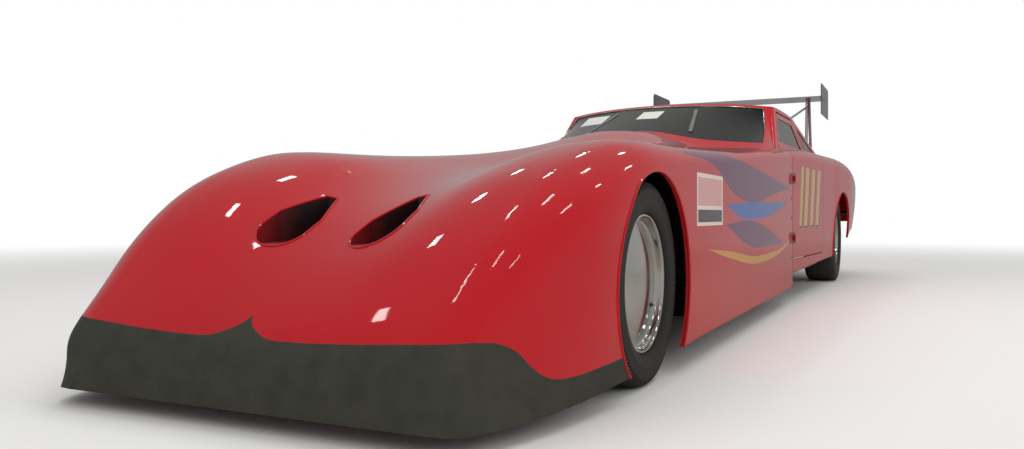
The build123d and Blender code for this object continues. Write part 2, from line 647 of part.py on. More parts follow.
def body_shell():
    """Front clip, rear body, cabin, doors and glass, and the filled shapes that other pieces are cut by."""
    gap = PANEL_GAP / 2
    front_stations = (NOSE_S, -975, -950, *FRONT_STATIONS, JOINT_S - gap)
    rear_stations = (JOINT_S + gap, *REAR_STATIONS, TAIL_S)
    cabin_hull, cabin_room = cabin_solid(0, CABIN_LOW_Z), cabin_solid(1, CABIN_LOW_Z - 10)

    front = skin(FRONT_SECTIONS, front_stations) + end_wall(FRONT_SECTIONS[0], 1)
    front = front - wheel_holes(0, FRONT_TYRE_R, FRONT_ARCH_R, 600) - fattened(3)
    for arm in outriggers(NOSE_S, JOINT_S):
        front = front - arm - mirrored(arm)
    hood = filled(FRONT_SECTIONS, (-760, -590, -430, -240, -150))
    tray = duct_tray(DUCT_X, hood)
    well = extrude(Pos(0, 0, 300) * duct_outline(DUCT_X, 0), 600)
    front = front - well - mirrored(well)

    rear_skin = skin(REAR_SECTIONS, rear_stations)
    deck = filled(REAR_SECTIONS, rear_stations)
    rear = rear_skin + end_wall(REAR_SECTIONS[-1], -1)
    rear = rear - wheel_holes(WHEELBASE, REAR_TYRE_R, REAR_ARCH_R, 640) - cabin_hull
    opening = door_block(gap + 2)
    rear = rear - opening - mirrored(opening)
    for arm in outriggers(JOINT_S, TAIL_S):
        rear = rear - arm - mirrored(arm)

    pillar_foot = block((500, y(JOINT_S) - 50, 800), (900, y(DOOR_FRAME[0][0] - 4), 1100))
    door = (rear_skin & door_block(0)) - cabin_hull - (fattened(6) & pillar_foot)
    hinges = None
    for height in HINGE_HEIGHTS:
        fixed, moving = hinge_parts(height)
        door = door + moving
        hinges = fixed if hinges is None else hinges + fixed

    frame_space = side_prism(DOOR_FRAME, 560, 900) & door_reach(0)
    frame_opening = side_prism(DOOR_FRAME, 560, 900, FRAME_GAP) & door_reach(gap + 2)
    glass_space = side_prism(DOOR_GLASS, 560, 900)
    screen_space = front_prism(SCREEN_GLASS, 1900, 3250)
    rear_space = front_prism(REAR_GLASS, 3830, 5200)
    quarter_space = side_prism(QUARTER_GLASS, 560, 900)
    cabin = cabin_hull - cabin_room - frame_opening - mirrored(frame_opening)
    cabin = cabin - screen_space - rear_space - quarter_space - mirrored(quarter_space)
    near, far = [cabin_solid(share, CABIN_LOW_Z) for share in GLASS_SHARE]

    fixed = {
        "front_clip": front,
        "rear_body": rear,
        "cabin_shell": cabin,
        "windscreen": (near & screen_space) - far,
        "rear_window": (near & rear_space) - far,
        "quarter_windows": pair((near & quarter_space) - far),
        "duct_trays": pair(tray),
        "door_hinges": pair(hinges - front),
    }
    sided = {
        "door_panel": door,
        "window_frame": (cabin_hull & frame_space) - cabin_room - glass_space,
        "door_glass": (near & glass_space) - far,
    }
    return fixed, sided, deck, cabin_hull


def running_gear():
    """Chassis, axles, steering, cage and drive line."""
    front, rear, cage = front_axle(), rear_axle(), roll_cage()
    low = RAIL_Z + RAIL[1] / 2
    frame_rails = rails()
    arms = [(arm - frame_rails).solids().sort_by(Axis.X)[-1] for arm in outriggers(NOSE_S, TAIL_S)]
    fixed = {
        "chassis_rails": frame_rails,
        "crossmembers": crossmembers(),
        "outriggers": Compound(children=[*arms, *[mirrored(arm) for arm in arms]]),
        "axle_mounts": axle_mounts(front),
        "roll_cage": cage,
        "front_axle": front,
        "rear_axle": rear,
        "tie_rod": tie_rod(),
        "steering_rack": steering_rack(),
        "engine_block": engine_block(),
        "drive_line": drive_line(),
        "steering_wheel": steering_wheel(),
        "dashboard": dashboard(cage),
        "driver_seat": seat(),
    }
    in_x = RAIL_X - LADDER_IN
    ladder = side_prism([(4235, low - 10), (4300, low - 10), (4850, 292), (4850, 400)], in_x, in_x + 12)
    ladder = ladder + rod((in_x - 5, y(WHEELBASE), REAR_TYRE_R), (in_x + 17, y(WHEELBASE), REAR_TYRE_R), 64)
    shock_x = RAIL_X - SHOCK_IN
    spring = rod((shock_x, y(SHOCK_S), REAR_TYRE_R), (shock_x, y(SHOCK_S), SHOCK_TOP_Z - 40), 27)
    fixed["rear_suspension"] = pair((ladder + spring) - rear)
    half, start, end, thick = PAN
    pan_top = RAIL_Z - RAIL[1] / 2
    fixed["floor_pan"] = block((-half, y(start), pan_top - thick), (half, y(end), pan_top))
    wall = block((-620, y(FIREWALL_S), low), (620, y(FIREWALL_S + 6), 850))
    firewall = wall - rod((0, y(ENGINE[2]), REAR_TYRE_R), (0, y(PINION_S), REAR_TYRE_R), 150)
    wall = block((-600, y(BULKHEAD_S), low), (600, y(BULKHEAD_S + 6), 900))
    wall = wall - cage - rod((0, y(3000), REAR_TYRE_R), (0, y(PINION_S), REAR_TYRE_R), 70)
    fixed["bulkheads"] = Compound(children=[*firewall.solids(), *wall.solids()])
    return fixed


def rear_wing(deck, cabin_hull):
    """Blade, end plates, struts to the deck and braces to the roof."""
    strut = wing_strut(deck)
    brace = rod((650, y(3700), 1180), (STRUT_X, y(5345), WING_Z - BRACE_DROP), 9)
    return {
        "wing_blade": wing_blade(),
        "wing_endplates": pair(wing_plate()),
        "wing_struts": pair(strut),
        "wing_braces": pair((brace - cabin_hull - strut).solids().sort_by(SortBy.VOLUME)[-1]),
    }


def main():
    os.makedirs("parts", exist_ok=True)
    pieces, sided, deck, cabin_hull = body_shell()
    pieces.update(running_gear())
    pieces.update(rear_wing(deck, cabin_hull))
    sided["knuckle"] = knuckle()
    sided["front_tyre"] = tyre(FRONT_TYRE_R, FRONT_TYRE_W, FRONT_FACE_X, (y(0), FRONT_TYRE_R))
    sided["front_wheel"] = wheel(FRONT_TYRE_W, FRONT_FACE_X, (y(0), FRONT_TYRE_R))
    sided["rear_tyre"] = tyre(REAR_TYRE_R, REAR_TYRE_W, REAR_FACE_X, (y(WHEELBASE), REAR_TYRE_R))
    sided["rear_wheel"] = wheel(REAR_TYRE_W, REAR_FACE_X, (y(WHEELBASE), REAR_TYRE_R))
    for name, shape in sided.items():
        pieces[f"left_{name}"] = shape
        pieces[f"right_{name}"] = mirrored(shape)
    for name, shape in pieces.items():
        export_step(shape, f"parts/{name}.step")


main()
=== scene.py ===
import json
import math

import bmesh
import bpy
from mathutils import Matrix, Vector
from mathutils.bvhtree import BVHTree


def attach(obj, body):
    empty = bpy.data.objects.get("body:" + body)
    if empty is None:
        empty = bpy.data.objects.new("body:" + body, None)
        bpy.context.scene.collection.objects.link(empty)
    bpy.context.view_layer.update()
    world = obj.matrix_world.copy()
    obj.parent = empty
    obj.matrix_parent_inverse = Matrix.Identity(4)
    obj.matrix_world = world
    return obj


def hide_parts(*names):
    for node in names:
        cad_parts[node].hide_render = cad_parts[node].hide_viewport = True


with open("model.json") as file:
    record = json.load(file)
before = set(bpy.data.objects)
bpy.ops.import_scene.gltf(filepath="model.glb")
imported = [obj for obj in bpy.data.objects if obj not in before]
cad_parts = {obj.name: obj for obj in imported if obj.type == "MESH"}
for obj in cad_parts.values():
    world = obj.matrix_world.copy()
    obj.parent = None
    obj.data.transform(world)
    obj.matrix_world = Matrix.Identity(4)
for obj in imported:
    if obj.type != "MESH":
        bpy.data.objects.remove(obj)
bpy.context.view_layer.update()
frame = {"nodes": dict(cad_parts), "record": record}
cad = frame["nodes"]
scene = bpy.context.scene
scene.view_settings.view_transform = "Standard"

# All lengths are in metres. "s" is a distance behind the front axle, and MID is the s of the part's Y zero.
MID = 2.455
FRONT_AXLE = (0.0, 0.325)
REAR_AXLE = (4.86, 0.345)
FULL_TURN = 2 * math.pi


def colour(text):
    """Linear RGBA of an sRGB hex colour."""
    parts = [int(text[i:i + 2], 16) / 255 for i in (0, 2, 4)]
    linear = [c / 12.92 if c <= 0.04045 else ((c + 0.055) / 1.055) ** 2.4 for c in parts]
    return (*linear, 1.0)


def output(source):
    """A socket as it is, and a node's first output in use."""
    if isinstance(source, bpy.types.Node):
        return next(socket for socket in source.outputs if socket.enabled)
    return source


def node(tree, kind, inputs=None, points=None, **settings):
    """Adds a node, sets its settings and curve points, and fills its inputs.

    An input is a value, a hex colour, a socket, or a node, which stands for its first output in use.
    """
    made = tree.nodes.new("ShaderNode" + kind)
    for name, value in settings.items():
        setattr(made, name, value)
    if points:
        curve = made.mapping.curves[0]
        curve.points[0].location, curve.points[1].location = points[0], points[-1]
        for place in points[1:-1]:
            curve.points.new(*place)
        for point in curve.points:
            point.handle_type = "AUTO_CLAMPED"
        made.mapping.update()
    for name, value in (inputs or {}).items():
        if isinstance(value, (bpy.types.Node, bpy.types.NodeSocket)):
            tree.links.new(output(value), made.inputs[name])
        else:
            made.inputs[name].default_value = colour(value) if isinstance(value, str) else value
    return made


def material(name, **constants):
    """A new material with constants on its shader: the material, its tree and its object coordinates."""
    made = bpy.data.materials.new(name)
    made.use_nodes = True
    tree = made.node_tree
    for socket, value in constants.items():
        tree.nodes["Principled BSDF"].inputs[socket.replace("_", " ")].default_value = value
    return made, tree, node(tree, "TexCoord").outputs["Object"]


def wired(made, **sources):
    """Links nodes or sockets to the inputs of a material's shader, and gives the material back."""
    shader = made.node_tree.nodes["Principled BSDF"]
    for socket, value in sources.items():
        made.node_tree.links.new(output(value), shader.inputs[socket.replace("_", " ")])
    return made


def overlap(tree, *masks):
    """1 where every mask is 1."""
    shared = masks[0]
    for mask in masks[1:]:
        shared = node(tree, "Math", {0: shared, 1: mask}, operation="MULTIPLY")
    return shared


def placed(name, data):
    """A new object in the scene."""
    made = bpy.data.objects.new(name, data)
    scene.collection.objects.link(made)
    return made


# The camera stands where the photographer did. The photograph's sizes are in its pixels.
IMAGE_WIDTH = 1024
FOCAL_PX = 850
HORIZON_DROP_PX = 224.5 - 214.7
SENSOR_WIDTH = 36
EYE = (1.596, -2.593 - MID, 0.5413)
LOOK_TURN = math.radians(26.1)

camera_data = bpy.data.cameras.new("photo_camera")
camera_data.sensor_width = SENSOR_WIDTH
camera_data.lens = SENSOR_WIDTH * FOCAL_PX / IMAGE_WIDTH
camera_data.clip_end = 200
camera_data.shift_y = -HORIZON_DROP_PX / IMAGE_WIDTH
camera = placed("photo_camera", camera_data)
camera.location = EYE
camera.rotation_mode = "QUATERNION"
camera.rotation_quaternion = Vector((-math.sin(LOOK_TURN), math.cos(LOOK_TURN), 0)).to_track_quat("-Z", "Y")
scene.camera = camera


# How much of the white background shows in a reflection.
MIRRORED_SHARE = 0.2
# The floor fades into the background between these distances from the car's middle.
FADE_FROM, FADE_TO = 3.0, 14.0


def seen_directly(tree):
    """1 for the rays that show a background, from the camera or through glass, and less for a reflection."""
    path = node(tree, "LightPath")
    gloss = node(tree, "Math", {0: path.outputs["Is Glossy Ray"], 1: MIRRORED_SHARE}, operation="MULTIPLY")
    first = node(tree, "Math", {0: path.outputs["Is Camera Ray"], 1: gloss}, operation="MAXIMUM")
    return node(tree, "Math", {0: first, 1: path.outputs["Is Transmission Ray"]}, operation="MAXIMUM")


def studio_floor():
    """Matt painted floor that fades into the white background far from the car."""
    made, tree, place = material("painted_studio_floor", Roughness=0.85)
    # The gloss paint mirrors a greyer floor, as the concrete of a workshop would be.
    reflection = node(tree, "LightPath").outputs["Is Glossy Ray"]
    pale = node(tree, "Mix", {0: reflection, 6: "f4f3f1", 7: "a5a29b"}, data_type="RGBA")
    wired(made, Base_Color=pale)
    distance = node(tree, "VectorMath", {0: place}, operation="LENGTH").outputs["Value"]
    far = node(tree, "MapRange", {"Value": distance, "From Min": FADE_FROM, "From Max": FADE_TO},
               interpolation_type="SMOOTHSTEP")
    share = node(tree, "Math", {0: far, 1: seen_directly(tree)}, operation="MULTIPLY")
    glow = node(tree, "Emission", {"Color": (1, 1, 1, 1), "Strength": 1.0})
    mixed = node(tree, "MixShader", {0: share, 1: tree.nodes["Principled BSDF"], 2: glow})
    tree.links.new(mixed.outputs[0], tree.nodes["Material Output"].inputs["Surface"])
    bm = bmesh.new()
    bmesh.ops.create_circle(bm, cap_ends=True, radius=60, segments=96)
    mesh = bpy.data.meshes.new("studio_floor")
    bm.to_mesh(mesh)
    bm.free()
    mesh.materials.append(made)
    placed("studio_floor", mesh)


def studio_lights():
    """White walls under a grey ceiling, three large soft lamps and rows of small ceiling lamps.

    Gloss and glass mirror darker walls and only the small lamps, as in a workshop.
    """
    world = bpy.data.worlds.new("white_surroundings")
    scene.world = world
    world.use_nodes = True
    tree = world.node_tree
    upward = node(tree, "SeparateXYZ", {0: node(tree, "TexCoord").outputs["Generated"]}).outputs["Z"]
    walls = node(tree, "MapRange", {"Value": upward, "From Min": 0.42, "From Max": 0.75, "To Min": 1.0,
                                    "To Max": 0.3})
    reflection = node(tree, "LightPath").outputs["Is Glossy Ray"]
    base = node(tree, "MapRange", {"Value": reflection, "To Min": 0.5, "To Max": 0.2})
    strength = node(tree, "Mix", {0: seen_directly(tree), 2: base, 3: walls})
    background = tree.nodes["Background"]
    background.inputs["Color"].default_value = (1, 1, 1, 1)
    tree.links.new(strength.outputs[0], background.inputs["Strength"])

    lamps = [
        ("sky_softbox", (0, 0, 7), (0, 0, 0), (9, 5), 190),
        ("front_softbox", (5, -8, 4), (0, -2, 0.5), (5, 3), 80),
        ("side_softbox", (8, 1, 3.5), (0, 0, 0.5), (7, 3), 80),
    ]
    for x in (-2.6, -0.9, 0.8, 2.5):
        for where in (-7.4, -5.6, -3.8, -2.0, -0.2, 1.6):
            lamps.append((f"ceiling_lamp_{x}_{where}", (x, where, 4.2), (x, where, 0), (0.16, 0.42), 3))
    for name, place, aim, size, power in lamps:
        lamp = bpy.data.lights.new(name, "AREA")
        lamp.shape = "RECTANGLE"
        lamp.size, lamp.size_y = size
        lamp.energy = power
        lamp_object = placed(name, lamp)
        lamp_object.location = place
        lamp_object.visible_glossy = not name.endswith("softbox")
        lamp_object.rotation_mode = "QUATERNION"
        lamp_object.rotation_quaternion = (Vector(aim) - Vector(place)).to_track_quat("-Z", "Y")


studio_floor()
studio_lights()

# Painted shapes on the sides: colour, first and last s, then the upper and lower edge as points of
# (share of the run, z).
FLASHES = [
    ("640e4e", 0.36, 2.74, [(0, 0.76), (0.12, 0.80), (0.4, 0.78), (0.75, 0.735), (1, 0.70)],
     [(0, 0.76), (0.15, 0.735), (0.32, 0.63), (0.5, 0.60), (0.75, 0.655), (1, 0.70)]),
    ("640e4e", 0.95, 2.45, [(0, 0.50), (0.3, 0.515), (0.6, 0.48), (1, 0.38)],
     [(0, 0.50), (0.25, 0.415), (0.5, 0.38), (1, 0.38)]),
    ("1f56a8", 0.95, 2.66, [(0, 0.58), (0.3, 0.60), (0.65, 0.605), (1, 0.62)],
     [(0, 0.58), (0.25, 0.52), (0.6, 0.535), (1, 0.62)]),
    ("d6922a", 0.62, 2.76, [(0, 0.41), (0.2, 0.385), (0.5, 0.34), (0.8, 0.35), (1, 0.40)],
     [(0, 0.41), (0.2, 0.355), (0.5, 0.305), (0.8, 0.33), (1, 0.40)]),
]
# Plain plates stuck on the side: colour, first and last s, lowest and highest z.
PLATES = [
    ("f0d9d2", 0.46, 0.88, 0.50, 0.695),
    ("dc9f9b", 0.475, 0.865, 0.575, 0.68),
    ("33302c", 0.475, 0.865, 0.513, 0.56),
]
# Slanted gold bars across the door: middle s and half-width of each, then their middle z, half-height and
# slant, and how far each one's dark shadow is moved back and down and is wider all round.
BARS = [(3.12, 0.045), (3.30, 0.06), (3.52, 0.06), (3.74, 0.06)]
BAR_Z, BAR_HALF, BAR_SLANT = 0.66, 0.19, 0.22
SHADOW_BACK, SHADOW_DOWN, SHADOW_OUT = 0.012, 0.008, 0.006
# Painted tail lamps: middle and half-width across, middle and half-height in z, and the s where the tail
# begins.
LAMP_X, LAMP_Z, TAIL_FROM = (0.72, 0.16), (0.69, 0.055), 5.893
# Edge of the dark band on the nose: across the front by distance from the centre, then along the side by s.
# The second line takes over from the first behind the corner's s.
BAND_FRONT = [(0, 0.278), (0.012, 0.262), (0.05, 0.242), (0.09, 0.229), (0.15, 0.225), (0.33, 0.23),
              (0.5, 0.24), (0.66, 0.248), (0.9, 0.25)]
BAND_SIDE = [(-0.9, 0.249), (-0.81, 0.236), (-0.761, 0.211), (-0.73, 0.178), (-0.691, 0.147), (-0.637, 0.131),
             (-0.562, 0.128), (-0.433, 0.134), (-0.3, 0.139)]
BAND_CORNER = -0.875
PAINT_ROUGHNESS = 0.42


def body_paint(name, band=False, flashes=False, bars=False, lamps=False):
    """Two-pack gloss paint on a moulded composite body, with the shapes painted on that panel.

    It was sprayed, flatted and polished: a deep even red with a trace of orange peel under a hard clear coat
    that mirrors the lamps.
    """
    made, tree, place = material(name, Roughness=PAINT_ROUGHNESS, Specular_IOR_Level=0.05, Coat_Weight=1.0,
                                 Coat_Roughness=0.03, Coat_IOR=1.38)
    cloud = node(tree, "TexNoise", {"Vector": place, "Scale": 1.7, "Detail": 3.0})
    tint = node(tree, "Mix", {0: cloud, 6: "b8141d", 7: "c61e27"}, data_type="RGBA")
    # Orange peel is 2 mm across on the real car, drawn at 9 mm so that it shows in a reflection.
    peel = node(tree, "TexNoise", {"Vector": place, "Scale": 1 / 0.009, "Detail": 1.0})
    bump = node(tree, "Bump", {"Strength": 0.03, "Distance": 0.0002, "Height": peel})
    split = node(tree, "SeparateXYZ", {0: place})
    wide = node(tree, "Math", {0: split.outputs["X"]}, operation="ABSOLUTE")
    z = split.outputs["Z"]
    s = node(tree, "Math", {0: split.outputs["Y"], 1: MID}, operation="ADD")
    # The shapes are only on the side that faces away from the car's middle.
    normal = node(tree, "SeparateXYZ", {0: node(tree, "TexCoord").outputs["Normal"]})
    outwards = node(tree, "Math", {0: split.outputs["X"], 1: normal.outputs["X"]}, operation="MULTIPLY")
    outer = node(tree, "Math", {0: outwards, 1: 0.4}, operation="GREATER_THAN")
    layers = []

    for shade, first, last, high, low in FLASHES if flashes else ():
        run = node(tree, "MapRange", {"Value": s, "From Min": first, "From Max": last})
        low_edge, high_edge = [node(tree, "FloatCurve", {"Value": run}, edge) for edge in (low, high)]
        above = node(tree, "Math", {0: z, 1: low_edge}, operation="GREATER_THAN")
        below = node(tree, "Math", {0: z, 1: high_edge}, operation="LESS_THAN")
        layers.append((overlap(tree, above, below, outer), shade))
    boxes = [(shade, (first + last) / 2, (last - first) / 2, (low + high) / 2, (high - low) / 2, 0)
             for shade, first, last, low, high in PLATES] if flashes else []
    for middle, half in BARS if bars else ():
        boxes.append(("41100d", middle + SHADOW_BACK, half + SHADOW_OUT, BAR_Z - SHADOW_DOWN,
                      BAR_HALF + SHADOW_OUT, BAR_SLANT))
        boxes.append(("c9a04c", middle, half, BAR_Z, BAR_HALF, BAR_SLANT))
    for shade, middle, half, middle_z, half_z, slant in boxes:
        lean = node(tree, "Math", {0: z, 1: -slant, 2: s}, operation="MULTIPLY_ADD")
        along = node(tree, "Math", {0: lean, 1: middle - slant * middle_z, 2: half}, operation="COMPARE")
        up = node(tree, "Math", {0: z, 1: middle_z, 2: half_z}, operation="COMPARE")
        layers.append((overlap(tree, along, up, outer), shade))
    if lamps:
        tail = node(tree, "Math", {0: s, 1: TAIL_FROM}, operation="GREATER_THAN")
        across = node(tree, "Math", {0: wide, 1: LAMP_X[0], 2: LAMP_X[1]}, operation="COMPARE")
        up = node(tree, "Math", {0: z, 1: LAMP_Z[0], 2: LAMP_Z[1]}, operation="COMPARE")
        layers.append((overlap(tree, tail, across, up), "2a0406"))
    for mask, shade in layers:
        tint = node(tree, "Mix", {0: mask, 6: tint, 7: shade}, data_type="RGBA")

    if band:
        first, last = BAND_SIDE[0][0], BAND_SIDE[-1][0]
        run = node(tree, "MapRange", {"Value": s, "From Min": first, "From Max": last})
        shares = [((where - first) / (last - first), level) for where, level in BAND_SIDE]
        side = node(tree, "FloatCurve", {"Value": run}, shares)
        front = node(tree, "FloatCurve", {"Value": wide}, BAND_FRONT)
        past = node(tree, "Math", {0: s, 1: BAND_CORNER}, operation="GREATER_THAN")
        line = node(tree, "Mix", {0: past, 2: front, 3: side})
        depth = node(tree, "Math", {0: line, 1: z}, operation="SUBTRACT")
        ahead = node(tree, "Math", {0: s, 1: 0.0}, operation="LESS_THAN")
        inside = node(tree, "MapRange", {"Value": depth, "From Min": -0.001, "From Max": 0.001})
        mask = overlap(tree, inside, ahead)
        scuffs = node(tree, "TexNoise", {"Vector": place, "Scale": 14.0, "Detail": 6.0, "Roughness": 0.65})
        rubber = node(tree, "Mix", {0: scuffs, 6: "33332f", 7: "4c4b43"}, data_type="RGBA")
        tint = node(tree, "Mix", {0: mask, 6: tint, 7: rubber}, data_type="RGBA")
        satin = node(tree, "MapRange", {"Value": scuffs, "To Min": 0.36, "To Max": 0.52})
        rough = node(tree, "Mix", {0: mask, 2: PAINT_ROUGHNESS, 3: satin})
        coat = node(tree, "Math", {0: 1.0, 1: mask}, operation="SUBTRACT")
        # The band is a moulded strip that stands 1 mm proud of the paint.
        step = node(tree, "MapRange", {"Value": depth, "From Min": -0.003, "From Max": 0.003})
        bump = node(tree, "Bump", {"Strength": 0.6, "Distance": 0.001, "Height": step, "Normal": bump})
        wired(made, Roughness=rough, Coat_Weight=coat, Normal=bump)
    return wired(made, Base_Color=tint, Coat_Normal=bump)


def duct_paint_with_painted_shade(name):
    """Red paint inside the hood ducts, darkening towards the deep rear end as painted shade."""
    made, tree, place = material(name, Roughness=0.55, Coat_Weight=0.3, Coat_Roughness=0.3)
    split = node(tree, "SeparateXYZ", {0: place})
    mist = node(tree, "TexNoise", {"Vector": place, "Scale": 30.0, "Detail": 4.0})
    deep = node(tree, "Math", {0: mist, 1: 0.08, 2: split.outputs["Y"]}, operation="MULTIPLY_ADD")
    share = node(tree, "MapRange", {"Value": deep, "From Min": -0.62 - MID, "From Max": -0.36 - MID},
                 interpolation_type="SMOOTHSTEP")
    # Painted shade: the colour goes from red at the duct's mouth to near black at its deep rear end.
    tint = node(tree, "Mix", {0: share, 6: "9c1118", 7: "1d0406"}, data_type="RGBA")
    return wired(made, Base_Color=tint)


def glazing(name, labels=()):
    """Cast polycarbonate sheet, smoke tinted: hard-edged in reflection, dark olive to look through."""
    made, tree, place = material(name, Roughness=0.02, IOR=1.5, Transmission_Weight=1.0)
    split = node(tree, "SeparateXYZ", {0: place})
    haze = node(tree, "TexNoise", {"Vector": place, "Scale": 3.0, "Detail": 2.0})
    tint = node(tree, "Mix", {0: haze, 6: "34362a", 7: "414335"}, data_type="RGBA")
    clear = 1.0
    for middle, half, low, high in labels:
        across = node(tree, "Math", {0: split.outputs["X"], 1: middle, 2: half}, operation="COMPARE")
        up = node(tree, "Math", {0: split.outputs["Z"], 1: (low + high) / 2, 2: (high - low) / 2},
                  operation="COMPARE")
        mask = overlap(tree, across, up)
        tint = node(tree, "Mix", {0: mask, 6: tint, 7: "efeee8"}, data_type="RGBA")
        clear = node(tree, "Math", {0: clear, 1: mask}, operation="SUBTRACT")
    if labels:
        wired(made, Transmission_Weight=clear)
    return wired(made, Base_Color=tint)


def wheel_radius(tree, place, axle):
    """Distance from a wheel's axle."""
    to_axle = (0, MID - axle[0], -axle[1])
    around = node(tree, "Mapping", {"Vector": place, "Location": to_axle, "Scale": (0, 1, 1)})
    return node(tree, "VectorMath", {0: around}, operation="LENGTH").outputs["Value"]


def tyre_rubber(name, axle, tread_from):
    """Vulcanised carbon-black rubber from a polished mould: dark satin sidewall, dry and dustier tread."""
    made, tree, place = material(name, Roughness=0.6)
    radius = wheel_radius(tree, place, axle)
    tread = node(tree, "MapRange", {"Value": radius, "From Min": tread_from - 0.006,
                                    "From Max": tread_from + 0.006})
    dust = node(tree, "TexNoise", {"Vector": place, "Scale": 22.0, "Detail": 5.0, "Roughness": 0.7})
    wall = node(tree, "Mix", {0: dust, 6: "161513", 7: "242320"}, data_type="RGBA")
    worn = node(tree, "Mix", {0: dust, 6: "262522", 7: "3c3a34"}, data_type="RGBA")
    tint = node(tree, "Mix", {0: tread, 6: wall, 7: worn}, data_type="RGBA")
    rough = node(tree, "MapRange", {"Value": tread, "To Min": 0.5, "To Max": 0.85})
    # Fine concentric mould lines on the wall, 4 mm apart, and a 3 mm grain on the tread.
    rings = node(tree, "Math", {0: radius, 1: FULL_TURN / 0.004}, operation="MULTIPLY")
    rings = node(tree, "Math", {0: rings}, operation="SINE")
    grain = node(tree, "TexNoise", {"Vector": place, "Scale": 1 / 0.003, "Detail": 2.0})
    height = node(tree, "Mix", {0: tread, 2: rings, 3: grain})
    bump = node(tree, "Bump", {"Strength": 0.12, "Distance": 0.0006, "Height": height})
    return wired(made, Base_Color=tint, Roughness=rough, Normal=bump)


def spun_aluminium(name, axle):
    """Aluminium sheet spun over a former and polished: mirror bright, with faint rings from the tool."""
    made, tree, place = material(name, Metallic=1.0)
    radius = wheel_radius(tree, place, axle)
    # Tool rings are 1 mm apart on the real disc, drawn at 5 mm so that they show.
    rings = node(tree, "Math", {0: radius, 1: FULL_TURN / 0.005}, operation="MULTIPLY")
    rings = node(tree, "Math", {0: rings}, operation="SINE")
    swirl = node(tree, "CombineXYZ", {"X": radius})
    drift = node(tree, "TexNoise", {"Vector": swirl, "Scale": 70.0, "Detail": 3.0})
    smear = node(tree, "TexNoise", {"Vector": place, "Scale": 9.0, "Detail": 4.0})
    tint = node(tree, "Mix", {0: smear, 6: "c9c8c2", 7: "e6e5e0"}, data_type="RGBA")
    rough = node(tree, "MapRange", {"Value": smear, "From Min": 0.3, "From Max": 0.7, "To Min": 0.06,
                                    "To Max": 0.16})
    height = node(tree, "Math", {0: drift, 1: 6.0, 2: rings}, operation="MULTIPLY_ADD")
    bump = node(tree, "Bump", {"Strength": 0.05, "Distance": 0.0005, "Height": height})
    return wired(made, Base_Color=tint, Roughness=rough, Normal=bump)


def worked_metal(name, dark, light, roughness, grain, stretch=(1, 1, 1), strength=0.15):
    """Metal whose look is its grain: grain is the size of the marks, stretch draws them out along an axis."""
    made, tree, place = material(name, Metallic=1.0)
    drawn = node(tree, "Mapping", {"Vector": place, "Scale": stretch})
    marks = node(tree, "TexNoise", {"Vector": drawn, "Scale": 1 / grain, "Detail": 4.0, "Roughness": 0.6})
    stain = node(tree, "TexNoise", {"Vector": place, "Scale": 5.0, "Detail": 4.0})
    both = node(tree, "Math", {0: marks, 1: stain}, operation="MULTIPLY")
    both = node(tree, "MapRange", {"Value": both, "From Min": 0.12, "From Max": 0.42})
    tint = node(tree, "Mix", {0: both, 6: dark, 7: light}, data_type="RGBA")
    rough = node(tree, "MapRange", {"Value": marks, "To Min": roughness - 0.08, "To Max": roughness + 0.08})
    bump = node(tree, "Bump", {"Strength": strength, "Distance": 0.0003, "Height": marks})
    return wired(made, Base_Color=tint, Roughness=rough, Normal=bump)


def coated_steel(name, dark, light):
    """Mild steel tube under baked powder coat: an even satin film with a slight pebble and dust on top."""
    made, tree, place = material(name, Coat_Weight=0.25, Coat_Roughness=0.3)
    dust = node(tree, "TexNoise", {"Vector": place, "Scale": 6.0, "Detail": 5.0})
    pebble = node(tree, "TexNoise", {"Vector": place, "Scale": 1 / 0.004, "Detail": 1.0})
    tint = node(tree, "Mix", {0: dust, 6: dark, 7: light}, data_type="RGBA")
    rough = node(tree, "MapRange", {"Value": dust, "To Min": 0.36, "To Max": 0.58})
    bump = node(tree, "Bump", {"Strength": 0.12, "Distance": 0.0003, "Height": pebble})
    return wired(made, Base_Color=tint, Roughness=rough, Normal=bump)


def wave_scale(pitch):
    """Scale of a wave texture whose bands repeat after about this length."""
    return 1 / pitch / 3


def carbon_twill(name):
    """Carbon cloth in clear epoxy, laid up in a mould: two-by-two twill tows under a satin resin film."""
    made, tree, place = material(name, Coat_Weight=0.6, Coat_Roughness=0.18)
    # Tows are 2 mm wide on the real cloth, drawn at 6 mm so that they show.
    slant = node(tree, "Mapping", {"Vector": place, "Rotation": (0.0, 0.0, math.radians(45))})
    tows = node(tree, "TexWave", {"Vector": slant, "Scale": wave_scale(0.006)}, bands_direction="X")
    cross = node(tree, "TexWave", {"Vector": place, "Scale": wave_scale(0.006)}, bands_direction="Z")
    both = node(tree, "Math", {0: tows.outputs["Fac"], 1: cross.outputs["Fac"]}, operation="MULTIPLY")
    tint = node(tree, "Mix", {0: both, 6: "0f0f10", 7: "2d2d2f"}, data_type="RGBA")
    rough = node(tree, "MapRange", {"Value": both, "To Min": 0.32, "To Max": 0.5})
    bump = node(tree, "Bump", {"Strength": 0.1, "Distance": 0.0003, "Height": both})
    return wired(made, Base_Color=tint, Roughness=rough, Normal=bump)


